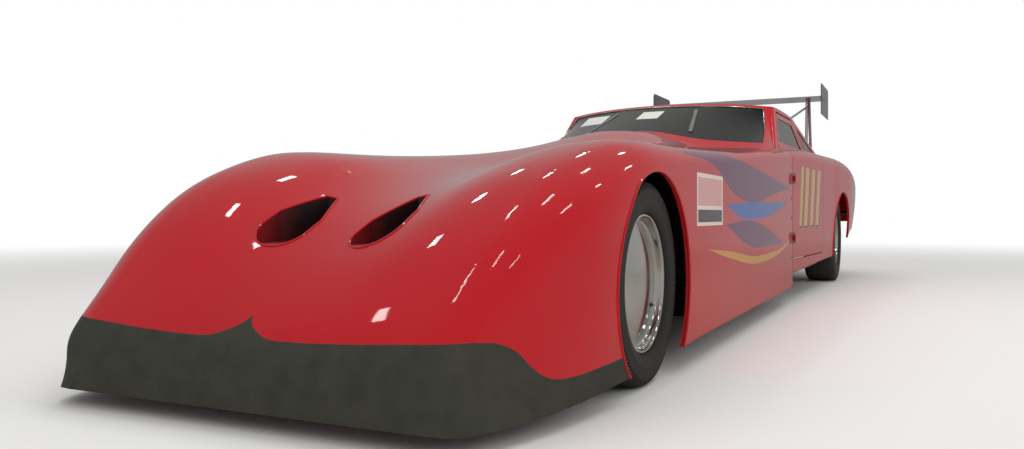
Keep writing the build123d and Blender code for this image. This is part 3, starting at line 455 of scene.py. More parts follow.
def seat_cloth(name):
    """Woven polyester seat cloth: a plain weave with a slight fuzz, soft and without gloss."""
    made, tree, place = material(name, Roughness=0.95, Sheen_Weight=0.35, Sheen_Roughness=0.5)
    # Threads are 0.6 mm apart on real cloth, drawn at 4 mm so that they show.
    threads = {"Vector": place, "Scale": wave_scale(0.004), "Distortion": 0.4}
    warp, weft = [node(tree, "TexWave", threads, bands_direction=axis).outputs["Fac"] for axis in "XZ"]
    weave = overlap(tree, warp, weft)
    rubbed = node(tree, "TexNoise", {"Vector": place, "Scale": 9.0, "Detail": 4.0})
    shade = node(tree, "Math", {0: weave, 1: rubbed}, operation="MULTIPLY")
    tint = node(tree, "Mix", {0: shade, 6: "1b1b1d", 7: "4a4a4d"}, data_type="RGBA")
    bump = node(tree, "Bump", {"Strength": 0.5, "Distance": 0.0006, "Height": weave})
    return wired(made, Base_Color=tint, Normal=bump)


def belt_webbing(name):
    """Nylon harness webbing: tight ribs across the belt and a slight satin shine."""
    made, tree, place = material(name, Roughness=0.6, Sheen_Weight=0.2)
    # Ribs are 1.2 mm apart on real webbing, drawn at 4 mm so that they show.
    ribs = node(tree, "TexWave", {"Vector": place, "Scale": wave_scale(0.004), "Distortion": 0.2},
                bands_direction="Z")
    fade = node(tree, "TexNoise", {"Vector": place, "Scale": 12.0, "Detail": 3.0})
    tint = node(tree, "Mix", {0: fade, 6: "17327a", 7: "2a4ca0"}, data_type="RGBA")
    bump = node(tree, "Bump", {"Strength": 0.5, "Distance": 0.0006, "Height": ribs.outputs["Fac"]})
    return wired(made, Base_Color=tint, Normal=bump)


def dial_enamel(name, dark, light):
    """Printed dial or lacquered part: an even enamel with a faint mottle, smooth to the touch."""
    made, tree, place = material(name, Roughness=0.4)
    mottle = node(tree, "TexNoise", {"Vector": place, "Scale": 60.0, "Detail": 2.0})
    tint = node(tree, "Mix", {0: mottle, 6: dark, 7: light}, data_type="RGBA")
    return wired(made, Base_Color=tint)


plain_paint = body_paint("gloss_painted_composite")
steel = coated_steel("powder_coated_steel_tube", "1d1f21", "2f3235")
cast = worked_metal("sand_cast_aluminium", "4a4b4b", "8a8b89", 0.55, 0.004, strength=0.4)
machined = worked_metal("machined_aluminium", "9a9b9c", "d2d3d4", 0.28, 0.003, (0.2, 3, 3))
sheet = worked_metal("rolled_aluminium_sheet", "85868a", "b9babc", 0.42, 0.006, (0.08, 3, 3), strength=0.08)
satin = worked_metal("satin_anodised_aluminium", "b4b7bb", "e0e2e4", 0.3, 0.005, (0.06, 2, 2), strength=0.05)
carbon = carbon_twill("carbon_twill_in_epoxy")
cloth = seat_cloth("woven_seat_cloth")
webbing = belt_webbing("nylon_harness_webbing")
dial_black = dial_enamel("black_dial_enamel", "101112", "1a1b1c")
dial_white = dial_enamel("white_dial_print", "dcdad2", "efeee8")
dial_red = dial_enamel("red_lacquered_knob", "a11218", "bb2028")
trim = worked_metal("bright_rolled_trim", "b7b6b0", "e4e3de", 0.22, 0.004, (3, 0.1, 3), strength=0.04)
# Blank pale labels at the top of the windscreen: middle and half-width across, lowest and highest z.
LABELS = [(-0.415, 0.095, 1.132, 1.205), (-0.008, 0.07, 1.148, 1.212)]
finishes = {
    "body_paint": plain_paint, "glass": glazing("tinted_polycarbonate"), "carbon": carbon,
    "frame_paint": steel, "cast_metal": cast, "polished_alloy": machined, "sheet_alloy": sheet,
    "wing_silver": satin, "seat_fabric": cloth, "tyre": steel,
}
panel_finishes = {
    "front_clip": body_paint("gloss_painted_front_clip", band=True, flashes=True),
    "left_door_panel": body_paint("gloss_painted_doors", bars=True),
    "rear_body": body_paint("gloss_painted_rear_body", lamps=True),
    # The duct trays' paint carries painted shade, darker towards their deep rear end.
    "duct_trays": duct_paint_with_painted_shade("duct_paint_darkened_by_painted_shade"),
    "windscreen": glazing("tinted_polycarbonate_screen", LABELS),
}
panel_finishes["right_door_panel"] = panel_finishes["left_door_panel"]
for entry in frame["record"]["subparts"]:
    name = entry["node"]
    cad[name].data.materials.clear()
    cad[name].data.materials.append(panel_finishes.get(name) or finishes[entry["material_slot"]])

# From the s axis to the part's Y axis.
AWAY = Vector((0, -MID, 0))
# The least angle between two faces of a piece that is shaded as an edge.
SHARP_EDGE = math.radians(38)


def piece(name, bm, finish, body="car", replaced=()):
    """Turns a bmesh, drawn in (x, s, z), into a finished piece on its body."""
    bmesh.ops.translate(bm, verts=bm.verts, vec=AWAY)
    bmesh.ops.recalc_face_normals(bm, faces=bm.faces)
    mesh = bpy.data.meshes.new(name)
    bm.to_mesh(mesh)
    bm.free()
    mesh.materials.append(finish)
    mesh.shade_smooth()
    mesh.set_sharp_from_angle(angle=SHARP_EDGE)
    made = placed(name, mesh)
    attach(made, body)
    if replaced:
        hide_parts(*replaced)


def only(items, kind):
    """The items of one kind, from what a bmesh operator made."""
    return [item for item in items if isinstance(item, kind)]


def edges_of(corners):
    """All edges that meet the corners."""
    return list({edge for corner in corners for edge in corner.link_edges})


def rounded(bm, edges, by, segments=3):
    """Rounds edges to a radius."""
    bmesh.ops.bevel(bm, geom=edges, offset=by, segments=segments, profile=0.5, affect="EDGES", material=-1)


def mirrored(bm, sign):
    """Moves what was drawn on the left to the side with this sign."""
    bmesh.ops.scale(bm, verts=bm.verts, vec=(sign, 1, 1))


def settled(bm):
    """Joins the vertices that a spin or a bent strap leaves on one another."""
    bmesh.ops.remove_doubles(bm, verts=bm.verts, dist=1e-5)


def spun(profile, steps):
    """The closed (x, radius) profile spun about the X axis, as a ring or a disc."""
    bm = bmesh.new()
    corners = [bm.verts.new((x, 0, radius)) for x, radius in profile]
    lines = [bm.edges.new(pair) for pair in zip(corners, corners[1:] + corners[:1])
             if pair[0].co.z + pair[1].co.z > 0]
    bmesh.ops.spin(bm, geom=corners + lines, cent=(0, 0, 0), axis=(1, 0, 0), angle=FULL_TURN, steps=steps,
                   use_merge=True)
    settled(bm)
    return bm


def facing(place, direction, roll=0.0):
    """Matrix that puts a local origin at a place with its Z axis along a direction."""
    turn = Vector(direction).to_track_quat("Z", "Y").to_matrix().to_4x4()
    return Matrix.Translation(Vector(place)) @ turn @ Matrix.Rotation(roll, 4, "Z")


def block(bm, low, high, matrix=None, round_by=0.0):
    """Adds a box, rounded along its edges where a radius is given."""
    size = [b - a for a, b in zip(low, high)]
    middle = [(a + b) / 2 for a, b in zip(low, high)]
    shape = (matrix or Matrix()) @ Matrix.Translation(middle) @ Matrix.Diagonal((*size, 1))
    corners = bmesh.ops.create_cube(bm, size=1, matrix=shape)["verts"]
    if round_by:
        rounded(bm, edges_of(corners), round_by)


def drum(bm, place, direction, radius, depth, top=None, segments=24):
    """Adds a short cylinder, or a taper to the top radius, standing on its place along a direction."""
    matrix = facing(place, direction) @ Matrix.Translation((0, 0, depth / 2))
    bmesh.ops.create_cone(bm, cap_ends=True, segments=segments, radius1=radius, depth=depth, matrix=matrix,
                          radius2=radius if top is None else top)


def plate(bm, outline, low_x, high_x):
    """Adds a flat plate with an outline of (s, z) between two x."""
    first = bm.faces.new([bm.verts.new((low_x, s, z)) for s, z in outline])
    grown = bmesh.ops.extrude_face_region(bm, geom=[first], use_keep_orig=True)["geom"]
    bmesh.ops.translate(bm, verts=only(grown, bmesh.types.BMVert), vec=(high_x - low_x, 0, 0))


def mesh_of(thing):
    """A new mesh of an object with its modifiers or bevel."""
    bpy.context.view_layer.update()
    return bpy.data.meshes.new_from_object(thing.evaluated_get(bpy.context.evaluated_depsgraph_get()))


def tubes(bm, runs, radius, closed=False):
    """Adds round bars along runs of points."""
    curve = bpy.data.curves.new("run", "CURVE")
    curve.dimensions = "3D"
    curve.bevel_depth = radius
    curve.bevel_resolution = 3
    curve.use_fill_caps = True
    for run in runs:
        spline = curve.splines.new("POLY")
        spline.points.add(len(run) - 1)
        spline.use_cyclic_u = closed
        for point, place in zip(spline.points, run):
            point.co = (*place, 1)
    holder = placed("run", curve)
    mesh = mesh_of(holder)
    bm.from_mesh(mesh)
    bpy.data.objects.remove(holder)
    bpy.data.curves.remove(curve)
    bpy.data.meshes.remove(mesh)


def strap(bm, points, across, thickness):
    """Adds a flat belt along a run of points."""
    half = Vector(across) / 2
    ends = [bm.verts.new(Vector(points[0]) + half), bm.verts.new(Vector(points[0]) - half)]
    edge = bm.edges.new(ends)
    faces = []
    for start, end in zip(points, points[1:]):
        grown = bmesh.ops.extrude_edge_only(bm, edges=[edge])["geom"]
        corners = only(grown, bmesh.types.BMVert)
        faces += only(grown, bmesh.types.BMFace)
        bmesh.ops.translate(bm, verts=corners, vec=Vector(end) - Vector(start))
        edge = next(item for item in only(grown, bmesh.types.BMEdge)
                    if all(corner in corners for corner in item.verts))
    bmesh.ops.solidify(bm, geom=faces, thickness=thickness)


# The least angle between two faces of a panel that counts as its edge.
PANEL_CORNER = math.radians(35)


def lip(name, source, wanted, radius, finish, body="car", rings=False):
    """A round bead along the sharp edges of a CAD panel that a rule picks by midpoint and two normals.

    With rings set, only the edges that close into a ring are kept.
    """
    bm = bmesh.new()
    bm.from_mesh(cad[source].data)
    bmesh.ops.remove_doubles(bm, verts=bm.verts, dist=2e-5)
    bm.normal_update()
    kept = set()
    for edge in bm.edges:
        if len(edge.link_faces) == 2 and edge.calc_face_angle(0) > PANEL_CORNER:
            middle = (edge.verts[0].co + edge.verts[1].co) / 2 - AWAY
            if wanted(middle, *[face.normal for face in edge.link_faces]):
                kept.add(edge)
    bmesh.ops.delete(bm, geom=bm.faces[:], context="FACES_ONLY")
    bmesh.ops.delete(bm, geom=[edge for edge in bm.edges if edge not in kept], context="EDGES")
    fewest = 2 if rings else 1
    while ends := [corner for corner in bm.verts if len(corner.link_edges) < fewest]:
        bmesh.ops.delete(bm, geom=ends, context="VERTS")
    mesh = bpy.data.meshes.new(name)
    bm.to_mesh(mesh)
    bm.free()
    holder = placed(name, mesh)
    for other in bpy.context.selected_objects:
        other.select_set(False)
    bpy.context.view_layer.objects.active = holder
    holder.select_set(True)
    bpy.ops.object.convert(target="CURVE")
    holder.data.bevel_depth = radius
    holder.data.bevel_resolution = 2
    holder.data.use_fill_caps = True
    bpy.ops.object.convert(target="MESH")
    bm = bmesh.new()
    bm.from_mesh(holder.data)
    bpy.data.objects.remove(holder)
    bmesh.ops.translate(bm, verts=bm.verts, vec=-AWAY)
    piece(name, bm, finish, body)


def on_skin(panel, start, direction):
    """Where a line meets a CAD panel, and the panel's normal there, towards the line's start."""
    if panel not in skins:
        skins[panel] = BVHTree.FromObject(cad[panel], bpy.context.evaluated_depsgraph_get())
    place, normal, _, _ = skins[panel].ray_cast(Vector(start) + AWAY, Vector(direction))
    if normal.dot(Vector(direction)) > 0:
        normal = -normal
    return place - AWAY, normal


skins = {}
SIDES = {"left": 1, "right": -1}
# Half of a tyre's section from the rim to the crown: share of the half-width, radius.
FRONT_TYRE = [(0.72, 0.2223), (0.80, 0.226), (0.90, 0.236), (0.975, 0.252), (0.99, 0.259), (1.0, 0.262),
              (1.0, 0.266), (0.985, 0.27), (0.985, 0.288), (0.955, 0.301), (0.905, 0.3095), (0.83, 0.3155),
              (0.74, 0.3195), (0.62, 0.3226), (0.45, 0.3243), (0.2, 0.325)]
REAR_TYRE = [(0.85, 0.2223), (0.90, 0.227), (0.965, 0.240), (0.99, 0.250), (1.0, 0.254), (1.0, 0.259),
             (0.99, 0.263), (0.995, 0.285), (0.985, 0.304), (0.95, 0.321), (0.90, 0.332), (0.83, 0.339),
             (0.7, 0.3432), (0.4, 0.345), (0.2, 0.345)]
# Notches in the front tyres' shoulders: lowest and highest radius, how far their floor is set in, and depth.
NOTCH_LOW, NOTCH_HIGH, NOTCH_INSET, NOTCH_DEPTH = 0.303, 0.3225, 0.0012, 0.004
# The wheel's lip is this far in from the tyre's face.
LIP_IN = 0.018
# Section of a wheel's face, from the middle of the domed disc out over the rolled lip: distance in from the
# lip, radius.
DOME = [(0.006, 0), (0.0066, 0.03), (0.0085, 0.06), (0.012, 0.095), (0.017, 0.13), (0.0225, 0.16),
        (0.0275, 0.183), (0.031, 0.196), (0.0305, 0.2), (0.0275, 0.2035), (0.02, 0.206), (0.01, 0.2075),
        (0.004, 0.209), (0.0008, 0.2115), (0, 0.215), (0.001, 0.2188), (0.004, 0.2213)]
# The valve, from the axle: how far back and up.
VALVE = (0.131, -0.081)


def tyre_piece(side, end, face_x, width, half_section, axle, finish, notched, steps):
    """One tyre; the front ones have a row of notches on each shoulder."""
    half = width / 2
    middle = face_x - half
    outer = [(share * half, radius) for share, radius in half_section]
    inner = [(-x, radius) for x, radius in reversed(outer)]
    bm = spun([(middle + x, radius) for x, radius in outer + inner], steps)
    if notched:
        bm.normal_update()
        step = FULL_TURN / steps
        cut = []
        for face in bm.faces:
            place = face.calc_center_median()
            radius = math.hypot(place.y, place.z)
            count = int((math.atan2(place.y, place.z) % FULL_TURN) / step)
            if NOTCH_LOW < radius < NOTCH_HIGH and count % 2 == 0:
                cut.append(face)
        bmesh.ops.inset_region(bm, faces=cut, thickness=NOTCH_INSET, depth=-NOTCH_DEPTH, use_even_offset=True)
    bmesh.ops.translate(bm, verts=bm.verts, vec=(0, *axle))
    mirrored(bm, SIDES[side])
    piece(f"{side}_{end}_tyre_carcass", bm, finish, f"{side}_{end}_roller", [f"{side}_{end}_tyre"])


def wheel_piece(side, end, face_x, width, axle, finish):
    """Disc wheel: a domed disc, a rolled lip, the rim's band and the hub behind it."""
    lip_x, inner = face_x - LIP_IN, face_x - width + LIP_IN
    # Along the band to the inner lip, then back to the disc, down its rear face and round the hub's bore.
    band = [(lip_x - 0.006, 0.2217), (inner + 0.004, 0.2217), (inner, 0.2205), (inner, 0.2155),
            (inner + 0.004, 0.2142)]
    back = [(0.034, 0.2142), (0.033, 0.19), (0.026, 0.13), (0.024, 0.075), (0.036, 0.05), (0.072, 0.046),
            (0.072, 0.0203), (0.02, 0.0203), (0.02, 0)]
    bm = spun([(lip_x - depth, radius) for depth, radius in DOME] + band
              + [(lip_x - depth, radius) for depth, radius in back], 120)
    bmesh.ops.translate(bm, verts=bm.verts, vec=(0, *axle))
    mirrored(bm, SIDES[side])
    body = f"{side}_{end}_roller"
    piece(f"{side}_{end}_disc_wheel", bm, finish, body, [f"{side}_{end}_wheel"])
    # The valve shows in a small rubber-edged port low on the disc.
    bm = bmesh.new()
    s, z = axle[0] + VALVE[0], axle[1] + VALVE[1]
    outwards = (1, 0.1, -0.06)
    drum(bm, (lip_x - 0.0218, s, z), outwards, 0.0085, 0.004, 0.007)
    drum(bm, (lip_x - 0.0188, s, z), outwards, 0.0035, 0.006, 0.003, 12)
    mirrored(bm, SIDES[side])
    piece(f"{side}_{end}_valve_port", bm, steel, body)


# End, outer face, width, section, axle, where the tread starts, notches and steps around.
wheel_sets = [
    ("front", 0.812, 0.130, FRONT_TYRE, FRONT_AXLE, 0.3, True, 216),
    ("rear", 0.928, 0.240, REAR_TYRE, REAR_AXLE, 0.325, False, 144),
]
for end, face_x, width, section, axle, tread_from, notched, steps in wheel_sets:
    rubber = tyre_rubber(f"{end}_tyre_rubber", axle, tread_from)
    polished = spun_aluminium(f"{end}_spun_aluminium", axle)
    for side in SIDES:
        tyre_piece(side, end, face_x, width, section, axle, rubber, notched, steps)
        wheel_piece(side, end, face_x, width, axle, polished)


# Rules for the panels' edges. Each gets an edge's midpoint and the normals of its two faces, and its limits are
# a box around the wanted edge and the directions that its two faces look in.
def arch_lip(axle, radius):
    """Rule for the outer edge of a wheel arch."""
    def wanted(place, one, other):
        out = 1 if place.x > 0 else -1
        far = math.hypot(place.y - axle[0], place.z - axle[1])
        return abs(far - radius) < 0.004 and abs(place.x) > 0.66 and max(one.x * out, other.x * out) > 0.55
    return wanted


def duct_lip(place, one, other):
    """Rule for the upper edge of a hood duct."""
    inside = -0.66 < place.y < -0.31 and 0.08 < abs(place.x) < 0.27
    return inside and max(one.z, other.z) > 0.45 and min(abs(one.z), abs(other.z)) < 0.2


def screen_edge(place, one, other):
    """Rule for the outer edge of the windscreen opening."""
    inside = place.y < (3.03 if abs(place.x) > 0.58 else 3.12) and 1.0 < place.z < 1.262
    return inside and min(one.y, other.y) < -0.25 and min(abs(one.y), abs(other.y)) < 0.12


def rear_screen_edge(place, one, other):
    """Rule for the outer edge of the rear window's opening."""
    inside = place.y > 3.75 and 1.0 < place.z < 1.24 and abs(place.x) < 0.66
    return inside and max(one.z, other.z) > 0.6 and min(abs(one.y), abs(other.y)) < 0.1


def side_glass_edge(place, one, other):
    """Rule for the outer edge of a side window's opening."""
    out = 1 if place.x > 0 else -1
    inside = 2.99 < place.y < 4.52 and 1.0 < place.z < 1.19
    return inside and max(one.x * out, other.x * out) > 0.6 and min(abs(one.x), abs(other.x)) < 0.15


ARCH_LIP, DUCT_LIP, SCREEN_TRIM, SIDE_TRIM = 0.0045, 0.004, 0.0035, 0.003
FRONT_ARCH, REAR_ARCH = arch_lip(FRONT_AXLE, 0.354), arch_lip(REAR_AXLE, 0.385)
for name, source, rule, radius in (
    ("front_arch_lips", "front_clip", FRONT_ARCH, ARCH_LIP),
    ("rear_arch_lips", "rear_body", REAR_ARCH, ARCH_LIP),
    ("duct_lips", "front_clip", duct_lip, DUCT_LIP),
):
    lip(name, source, rule, radius, plain_paint)
lip("screen_trim", "cabin_shell", screen_edge, SCREEN_TRIM, trim)
lip("rear_screen_trim", "cabin_shell", rear_screen_edge, SCREEN_TRIM, trim, rings=True)
lip("quarter_trims", "cabin_shell", side_glass_edge, SIDE_TRIM, trim, rings=True)
for side in SIDES:
    lip(f"{side}_window_trim", f"{side}_window_frame", side_glass_edge, SIDE_TRIM, trim,
        f"{side}_door", rings=True)

# Quarter-turn fasteners along the rear edge of the front clip, each a domed head with a slot.
FASTENER_S = 2.775
bm = bmesh.new()
slots = bmesh.new()
for sign in SIDES.values():
    for z in (0.16, 0.28, 0.52, 0.64, 0.84):
        place, normal = on_skin("front_clip", (sign * 1.5, FASTENER_S, z), (-sign, 0, 0))
        drum(bm, place - normal * 0.0008, normal, 0.0105, 0.0018, 0.0095)
        drum(bm, place + normal * 0.001, normal, 0.0085, 0.0014, 0.0055)
        turn = facing(place + normal * 0.0024, normal, 0.6)
        block(slots, (-0.0075, -0.0008, -0.0004), (0.0075, 0.0008, 0.0003), turn)
piece("panel_fasteners", bm, machined)
piece("panel_fastener_slots", slots, dial_black)

# Screws through the wing's end plates into the blade, at its height.
BLADE_Z = 1.568
bm = bmesh.new()
for sign in SIDES.values():
    for s in (5.29, 5.36, 5.43, 5.50):
        place, normal = on_skin("wing_endplates", (sign * 1.2, s, BLADE_Z), (-sign, 0, 0))
        drum(bm, place - normal * 0.0005, normal, 0.009, 0.0015, 0.009)
        drum(bm, place + normal * 0.001, normal, 0.006, 0.004, 0.0055, 6)
piece("wing_plate_screws", bm, machined)

# Two flat straps that hold the windscreen down.
STRAP_PROUD = 0.0035
bm = bmesh.new()
for sign in SIDES.values():
    run = []
    for step in range(9):
        share = step / 8
        x, z = 0.263 + 0.073 * share, 1.206 - 0.176 * share
        place, normal = on_skin("windscreen", (sign * x, 1.6, z), (0, 1, 0))
        run.append(place + normal * STRAP_PROUD)
    strap(bm, run, (0.022, 0, 0), 0.0022)
    for end in (run[0], run[-1]):
        drum(bm, end, normal, 0.007, 0.0045, 0.006, 12)
piece("screen_straps", bm, trim)

# The seat's middle, the height its feet stand at and how far out its two wings are.
SEAT_X, SEAT_LOW, WING_OUT = 0.32, 0.255, 0.186
# The dash's face, and the height of its gauges and switches.
DASH_FACE, DASH_Z = 2.9602, 0.822
# The steering wheel's radius to the middle of its grip, and the grip's own radius.
WHEEL_RADIUS, WHEEL_GRIP = 0.15, 0.0135


def steering_wheel():
    """Three-spoke wheel on a quick-release collar and its shaft."""
    start, end = Vector((SEAT_X, 2.59, 0.61)), Vector((SEAT_X, 3.30, 0.80))
    along = (end - start).normalized()
    down = along.cross(Vector((1, 0, 0)))
    turn = Matrix((Vector((1, 0, 0)), down, along)).transposed().to_4x4()
    place = Matrix.Translation(end) @ turn
    rim = bmesh.new()
    upright = Matrix.Translation((WHEEL_RADIUS, 0, 0)) @ Matrix.Rotation(math.pi / 2, 4, "X")
    circle = bmesh.ops.create_circle(rim, segments=16, radius=WHEEL_GRIP, matrix=upright)["verts"]
    bmesh.ops.spin(rim, geom=circle + edges_of(circle), cent=(0, 0, 0), axis=(0, 0, 1), angle=FULL_TURN,
                   steps=96, use_merge=True)
    settled(rim)
    bmesh.ops.transform(rim, matrix=place, verts=rim.verts)
    piece("steering_wheel_rim", rim, cloth, "steering_wheel", ["steering_wheel"])
    spokes = bmesh.new()
    for angle in (90, 210, 330):
        shape = Matrix.Translation((0.088, 0, 0)) @ Matrix.Diagonal((0.12, 0.026, 0.005, 1))
        spin = place @ Matrix.Rotation(math.radians(angle), 4, "Z")
        arm = bmesh.ops.create_cube(spokes, size=1, matrix=spin @ shape)["verts"]
        faces = list({face for corner in arm for face in corner.link_faces})
        broad = [face for face in faces if face.calc_area() > 0.003]
        bmesh.ops.inset_individual(spokes, faces=broad, thickness=0.005, depth=-0.0015)
    drum(spokes, end - along * 0.004, along, 0.034, 0.008)
    piece("steering_wheel_spokes", spokes, machined, "steering_wheel")
    hub = bmesh.new()
    drum(hub, end - along * 0.012, along, 0.028, 0.010, 0.032)
    drum(hub, end - along * 0.046, along, 0.024, 0.034, 0.024)
    drum(hub, end - along * 0.030, along, 0.029, 0.010, 0.029)
    drum(hub, end + along * 0.004, along, 0.016, 0.008, 0.011)
    for count in range(6):
        offset = Matrix.Rotation(count * FULL_TURN / 6, 4, "Z") @ Vector((0.0255, 0, 0.004))
        drum(hub, place @ offset, along, 0.0035, 0.003, 0.003, 12)
    tubes(hub, [(start, end - along * 0.04)], 0.0118)
    piece("steering_hub_and_shaft", hub, steel, "steering_wheel")


def gauge(x, z, radius, needle_turn):
    """One round gauge on the dash: bezel, face, ticks and needle."""
    bezel = [(0, radius), (0.010, radius), (0.013, radius * 0.94), (0.010, radius * 0.87), (0, radius * 0.87)]
    dial = [(0, 0), (0.005, 0), (0.005, radius * 0.88), (0, radius * 0.88)]
    for name, profile, finish, slot in (("bezel", bezel, trim, "polished_alloy"),
                                        ("dial", dial, dial_black, "frame_paint")):
        bm = spun(profile, 48)
        matrix = Matrix.Translation((x, DASH_FACE, z)) @ Matrix.Rotation(math.pi / 2, 4, "Z")
        bmesh.ops.transform(bm, matrix=matrix, verts=bm.verts)
        piece(f"gauge_{name}_{x:.2f}", bm, finish)
    bm = bmesh.new()
    face = DASH_FACE + 0.0053
    centre = Matrix.Translation((x, face, z))
    for count in range(11):
        spin = centre @ Matrix.Rotation(math.radians(-135 + 27 * count), 4, "Y")
        block(bm, (-0.0008, 0, radius * 0.68), (0.0008, 0.0006, radius * 0.82), spin)
    block(bm, (-0.0009, 0, -radius * 0.15), (0.0009, 0.0012, radius * 0.62),
          centre @ Matrix.Rotation(math.radians(needle_turn), 4, "Y"))
    drum(bm, (x, face, z), (0, 1, 0), radius * 0.09, 0.002)
    piece(f"gauge_marks_{x:.2f}", bm, dial_white)


def dash_controls():
    """Gauges in front of the driver, a switch panel in the middle and a kill switch beside it."""
    gauge(0.32, 0.824, 0.046, -120)
    for x, needle in ((0.225, -40), (0.415, 35), (-0.30, -90), (-0.38, 10)):
        gauge(x, DASH_Z, 0.028, needle)
    panel = bmesh.new()
    block(panel, (-0.10, DASH_FACE, 0.79), (0.15, DASH_FACE + 0.003, 0.86), round_by=0.001)
    piece("switch_panel", panel, sheet)
    toggles = bmesh.new()
    for count in range(6):
        x = -0.075 + 0.04 * count
        drum(toggles, (x, DASH_FACE + 0.0028, DASH_Z), (0, 1, 0), 0.0075, 0.004, 0.0075, 6)
        tilt = 0.7 if count % 2 else -0.7
        drum(toggles, (x, DASH_FACE + 0.0058, DASH_Z), (0, 1, tilt), 0.002, 0.018, 0.0034, 12)
    piece("toggle_switches", toggles, machined)
    knob = bmesh.new()
    drum(knob, (0.50, DASH_FACE, DASH_Z), (0, 1, 0), 0.022, 0.010, 0.020)
    grip = facing((0.50, DASH_FACE + 0.0088, DASH_Z), (0, 1, 0), 0.5)
    block(knob, (-0.005, -0.018, 0), (0.005, 0.018, 0.016), grip, 0.003)
    piece("battery_switch", knob, dial_red)


def bucket_seat():
    """Moulded seat shell with rolled rims on its two wings."""
    shell = bmesh.new()
    line = [(3.488, 0.330), (3.494, 0.358), (3.520, 0.364), (3.66, 0.347), (3.81, 0.327), (3.862, 0.336),
            (3.896, 0.385), (3.935, 0.56), (3.972, 0.73), (4.008, 0.893)]
    strap(shell, [(SEAT_X, s, z) for s, z in line], (0.358, 0, 0), 0.006)
    strap(shell, [(SEAT_X, s, z) for s, z in [(4.004, 0.875), (4.012, 0.93), (4.024, 0.99), (4.034, 1.046)]],
          (0.214, 0, 0), 0.006)
    wing = [(3.503, 0.258), (3.492, 0.30), (3.492, 0.43), (3.505, 0.462), (3.535, 0.474), (3.70, 0.488),
            (3.80, 0.502), (3.845, 0.535), (3.875, 0.63), (3.905, 0.78), (3.925, 0.828), (3.955, 0.843),
            (4.015, 0.843), (4.024, 0.82), (3.975, 0.48), (3.928, 0.258)]
    for sign in (-1, 1):
        x = SEAT_X + sign * WING_OUT
        plate(shell, wing, x - 0.003, x + 0.003)
    settled(shell)
    piece("seat_shell", shell, carbon, replaced=["driver_seat"])
    rims = bmesh.new()
    tubes(rims, [[(SEAT_X + sign * WING_OUT, s, z) for s, z in wing[1:14]] for sign in (-1, 1)], 0.0085)
    piece("seat_rims", rims, carbon)
    feet = bmesh.new()
    for sign in (-1, 1):
        for s in (3.56, 3.86):
            x = SEAT_X + sign * 0.15
            block(feet, (x - 0.018, s - 0.02, SEAT_LOW), (x + 0.018, s + 0.02, SEAT_LOW + 0.075),
                  round_by=0.003)
            drum(feet, (x + sign * 0.018, s, SEAT_LOW + 0.04), (sign, 0, 0), 0.008, 0.006, 0.007, 6)
    piece("seat_feet", feet, sheet)


def seat_pads():
    """Seat, back and head pads, swelled by simulation and then sewn round with piping."""
    pads = []
    for name, place, size, lean in (
        ("seat_pad", (SEAT_X, 3.672, 0.3655), (0.330, 0.325, 0.030), -6.3),
        ("back_pad", (SEAT_X, 3.9285, 0.640), (0.322, 0.455, 0.030), 77.8),
        ("head_pad", (SEAT_X, 3.999, 0.972), (0.190, 0.130, 0.030), 77.8),
    ):
        matrix = Matrix.Translation(Vector(place) + AWAY) @ Matrix.Rotation(math.radians(lean), 4, "X")
        bm = bmesh.new()
        corners = bmesh.ops.create_cube(bm, size=1, matrix=Matrix.Diagonal((*size, 1)))["verts"]
        upright = [edge for edge in edges_of(corners) if abs(edge.verts[0].co.z - edge.verts[1].co.z) > 0.01]
        rounded(bm, upright, 0.028, 5)
        flat = [edge for edge in bm.edges if abs(edge.verts[0].co.z - edge.verts[1].co.z) < 0.001]
        rounded(bm, flat, 0.006, 2)
        bmesh.ops.transform(bm, matrix=matrix, verts=bm.verts)
        bmesh.ops.recalc_face_normals(bm, faces=bm.faces)
        mesh = bpy.data.meshes.new(name)
        bm.to_mesh(mesh)
        bm.free()
        pad = placed(name, mesh)
        remesh = pad.modifiers.new("even_cells", "REMESH")
        remesh.mode = "VOXEL"
        remesh.voxel_size = 0.006
        even = mesh_of(pad)
        pad.modifiers.clear()
        pad.data = even
        even.name = name
        pads.append((pad, matrix, size))
    swell([pad for pad, _, _ in pads])
    for pad, matrix, size in pads:
        pad.data.materials.clear()
        pad.data.materials.append(cloth)
        pad.data.shade_smooth()
        finer = pad.modifiers.new("finer", "SUBSURF")
        finer.levels = finer.render_levels = 1
        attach(pad, "car")
        # The piping runs just outside the pad, round its corners.
        bm = bmesh.new()
        half_x, half_y, corner_r = size[0] / 2 + 0.002, size[1] / 2 + 0.002, 0.03
        run = []
        for quarter, (x, y) in enumerate(((1, 1), (-1, 1), (-1, -1), (1, -1))):
            for step in range(7):
                angle = (quarter + step / 6) * math.pi / 2
                offset = Vector((x * (half_x - corner_r) + corner_r * math.cos(angle),
                                 y * (half_y - corner_r) + corner_r * math.sin(angle), 0))
                run.append(matrix @ offset - AWAY)
        tubes(bm, [run], 0.0035, closed=True)
        piece(f"{pad.name}_piping", bm, cloth)


# The most that a point of a pad moves, and how many frames the pads swell for.
SWELL_MOST, SWELL_FRAMES = 0.007, 20


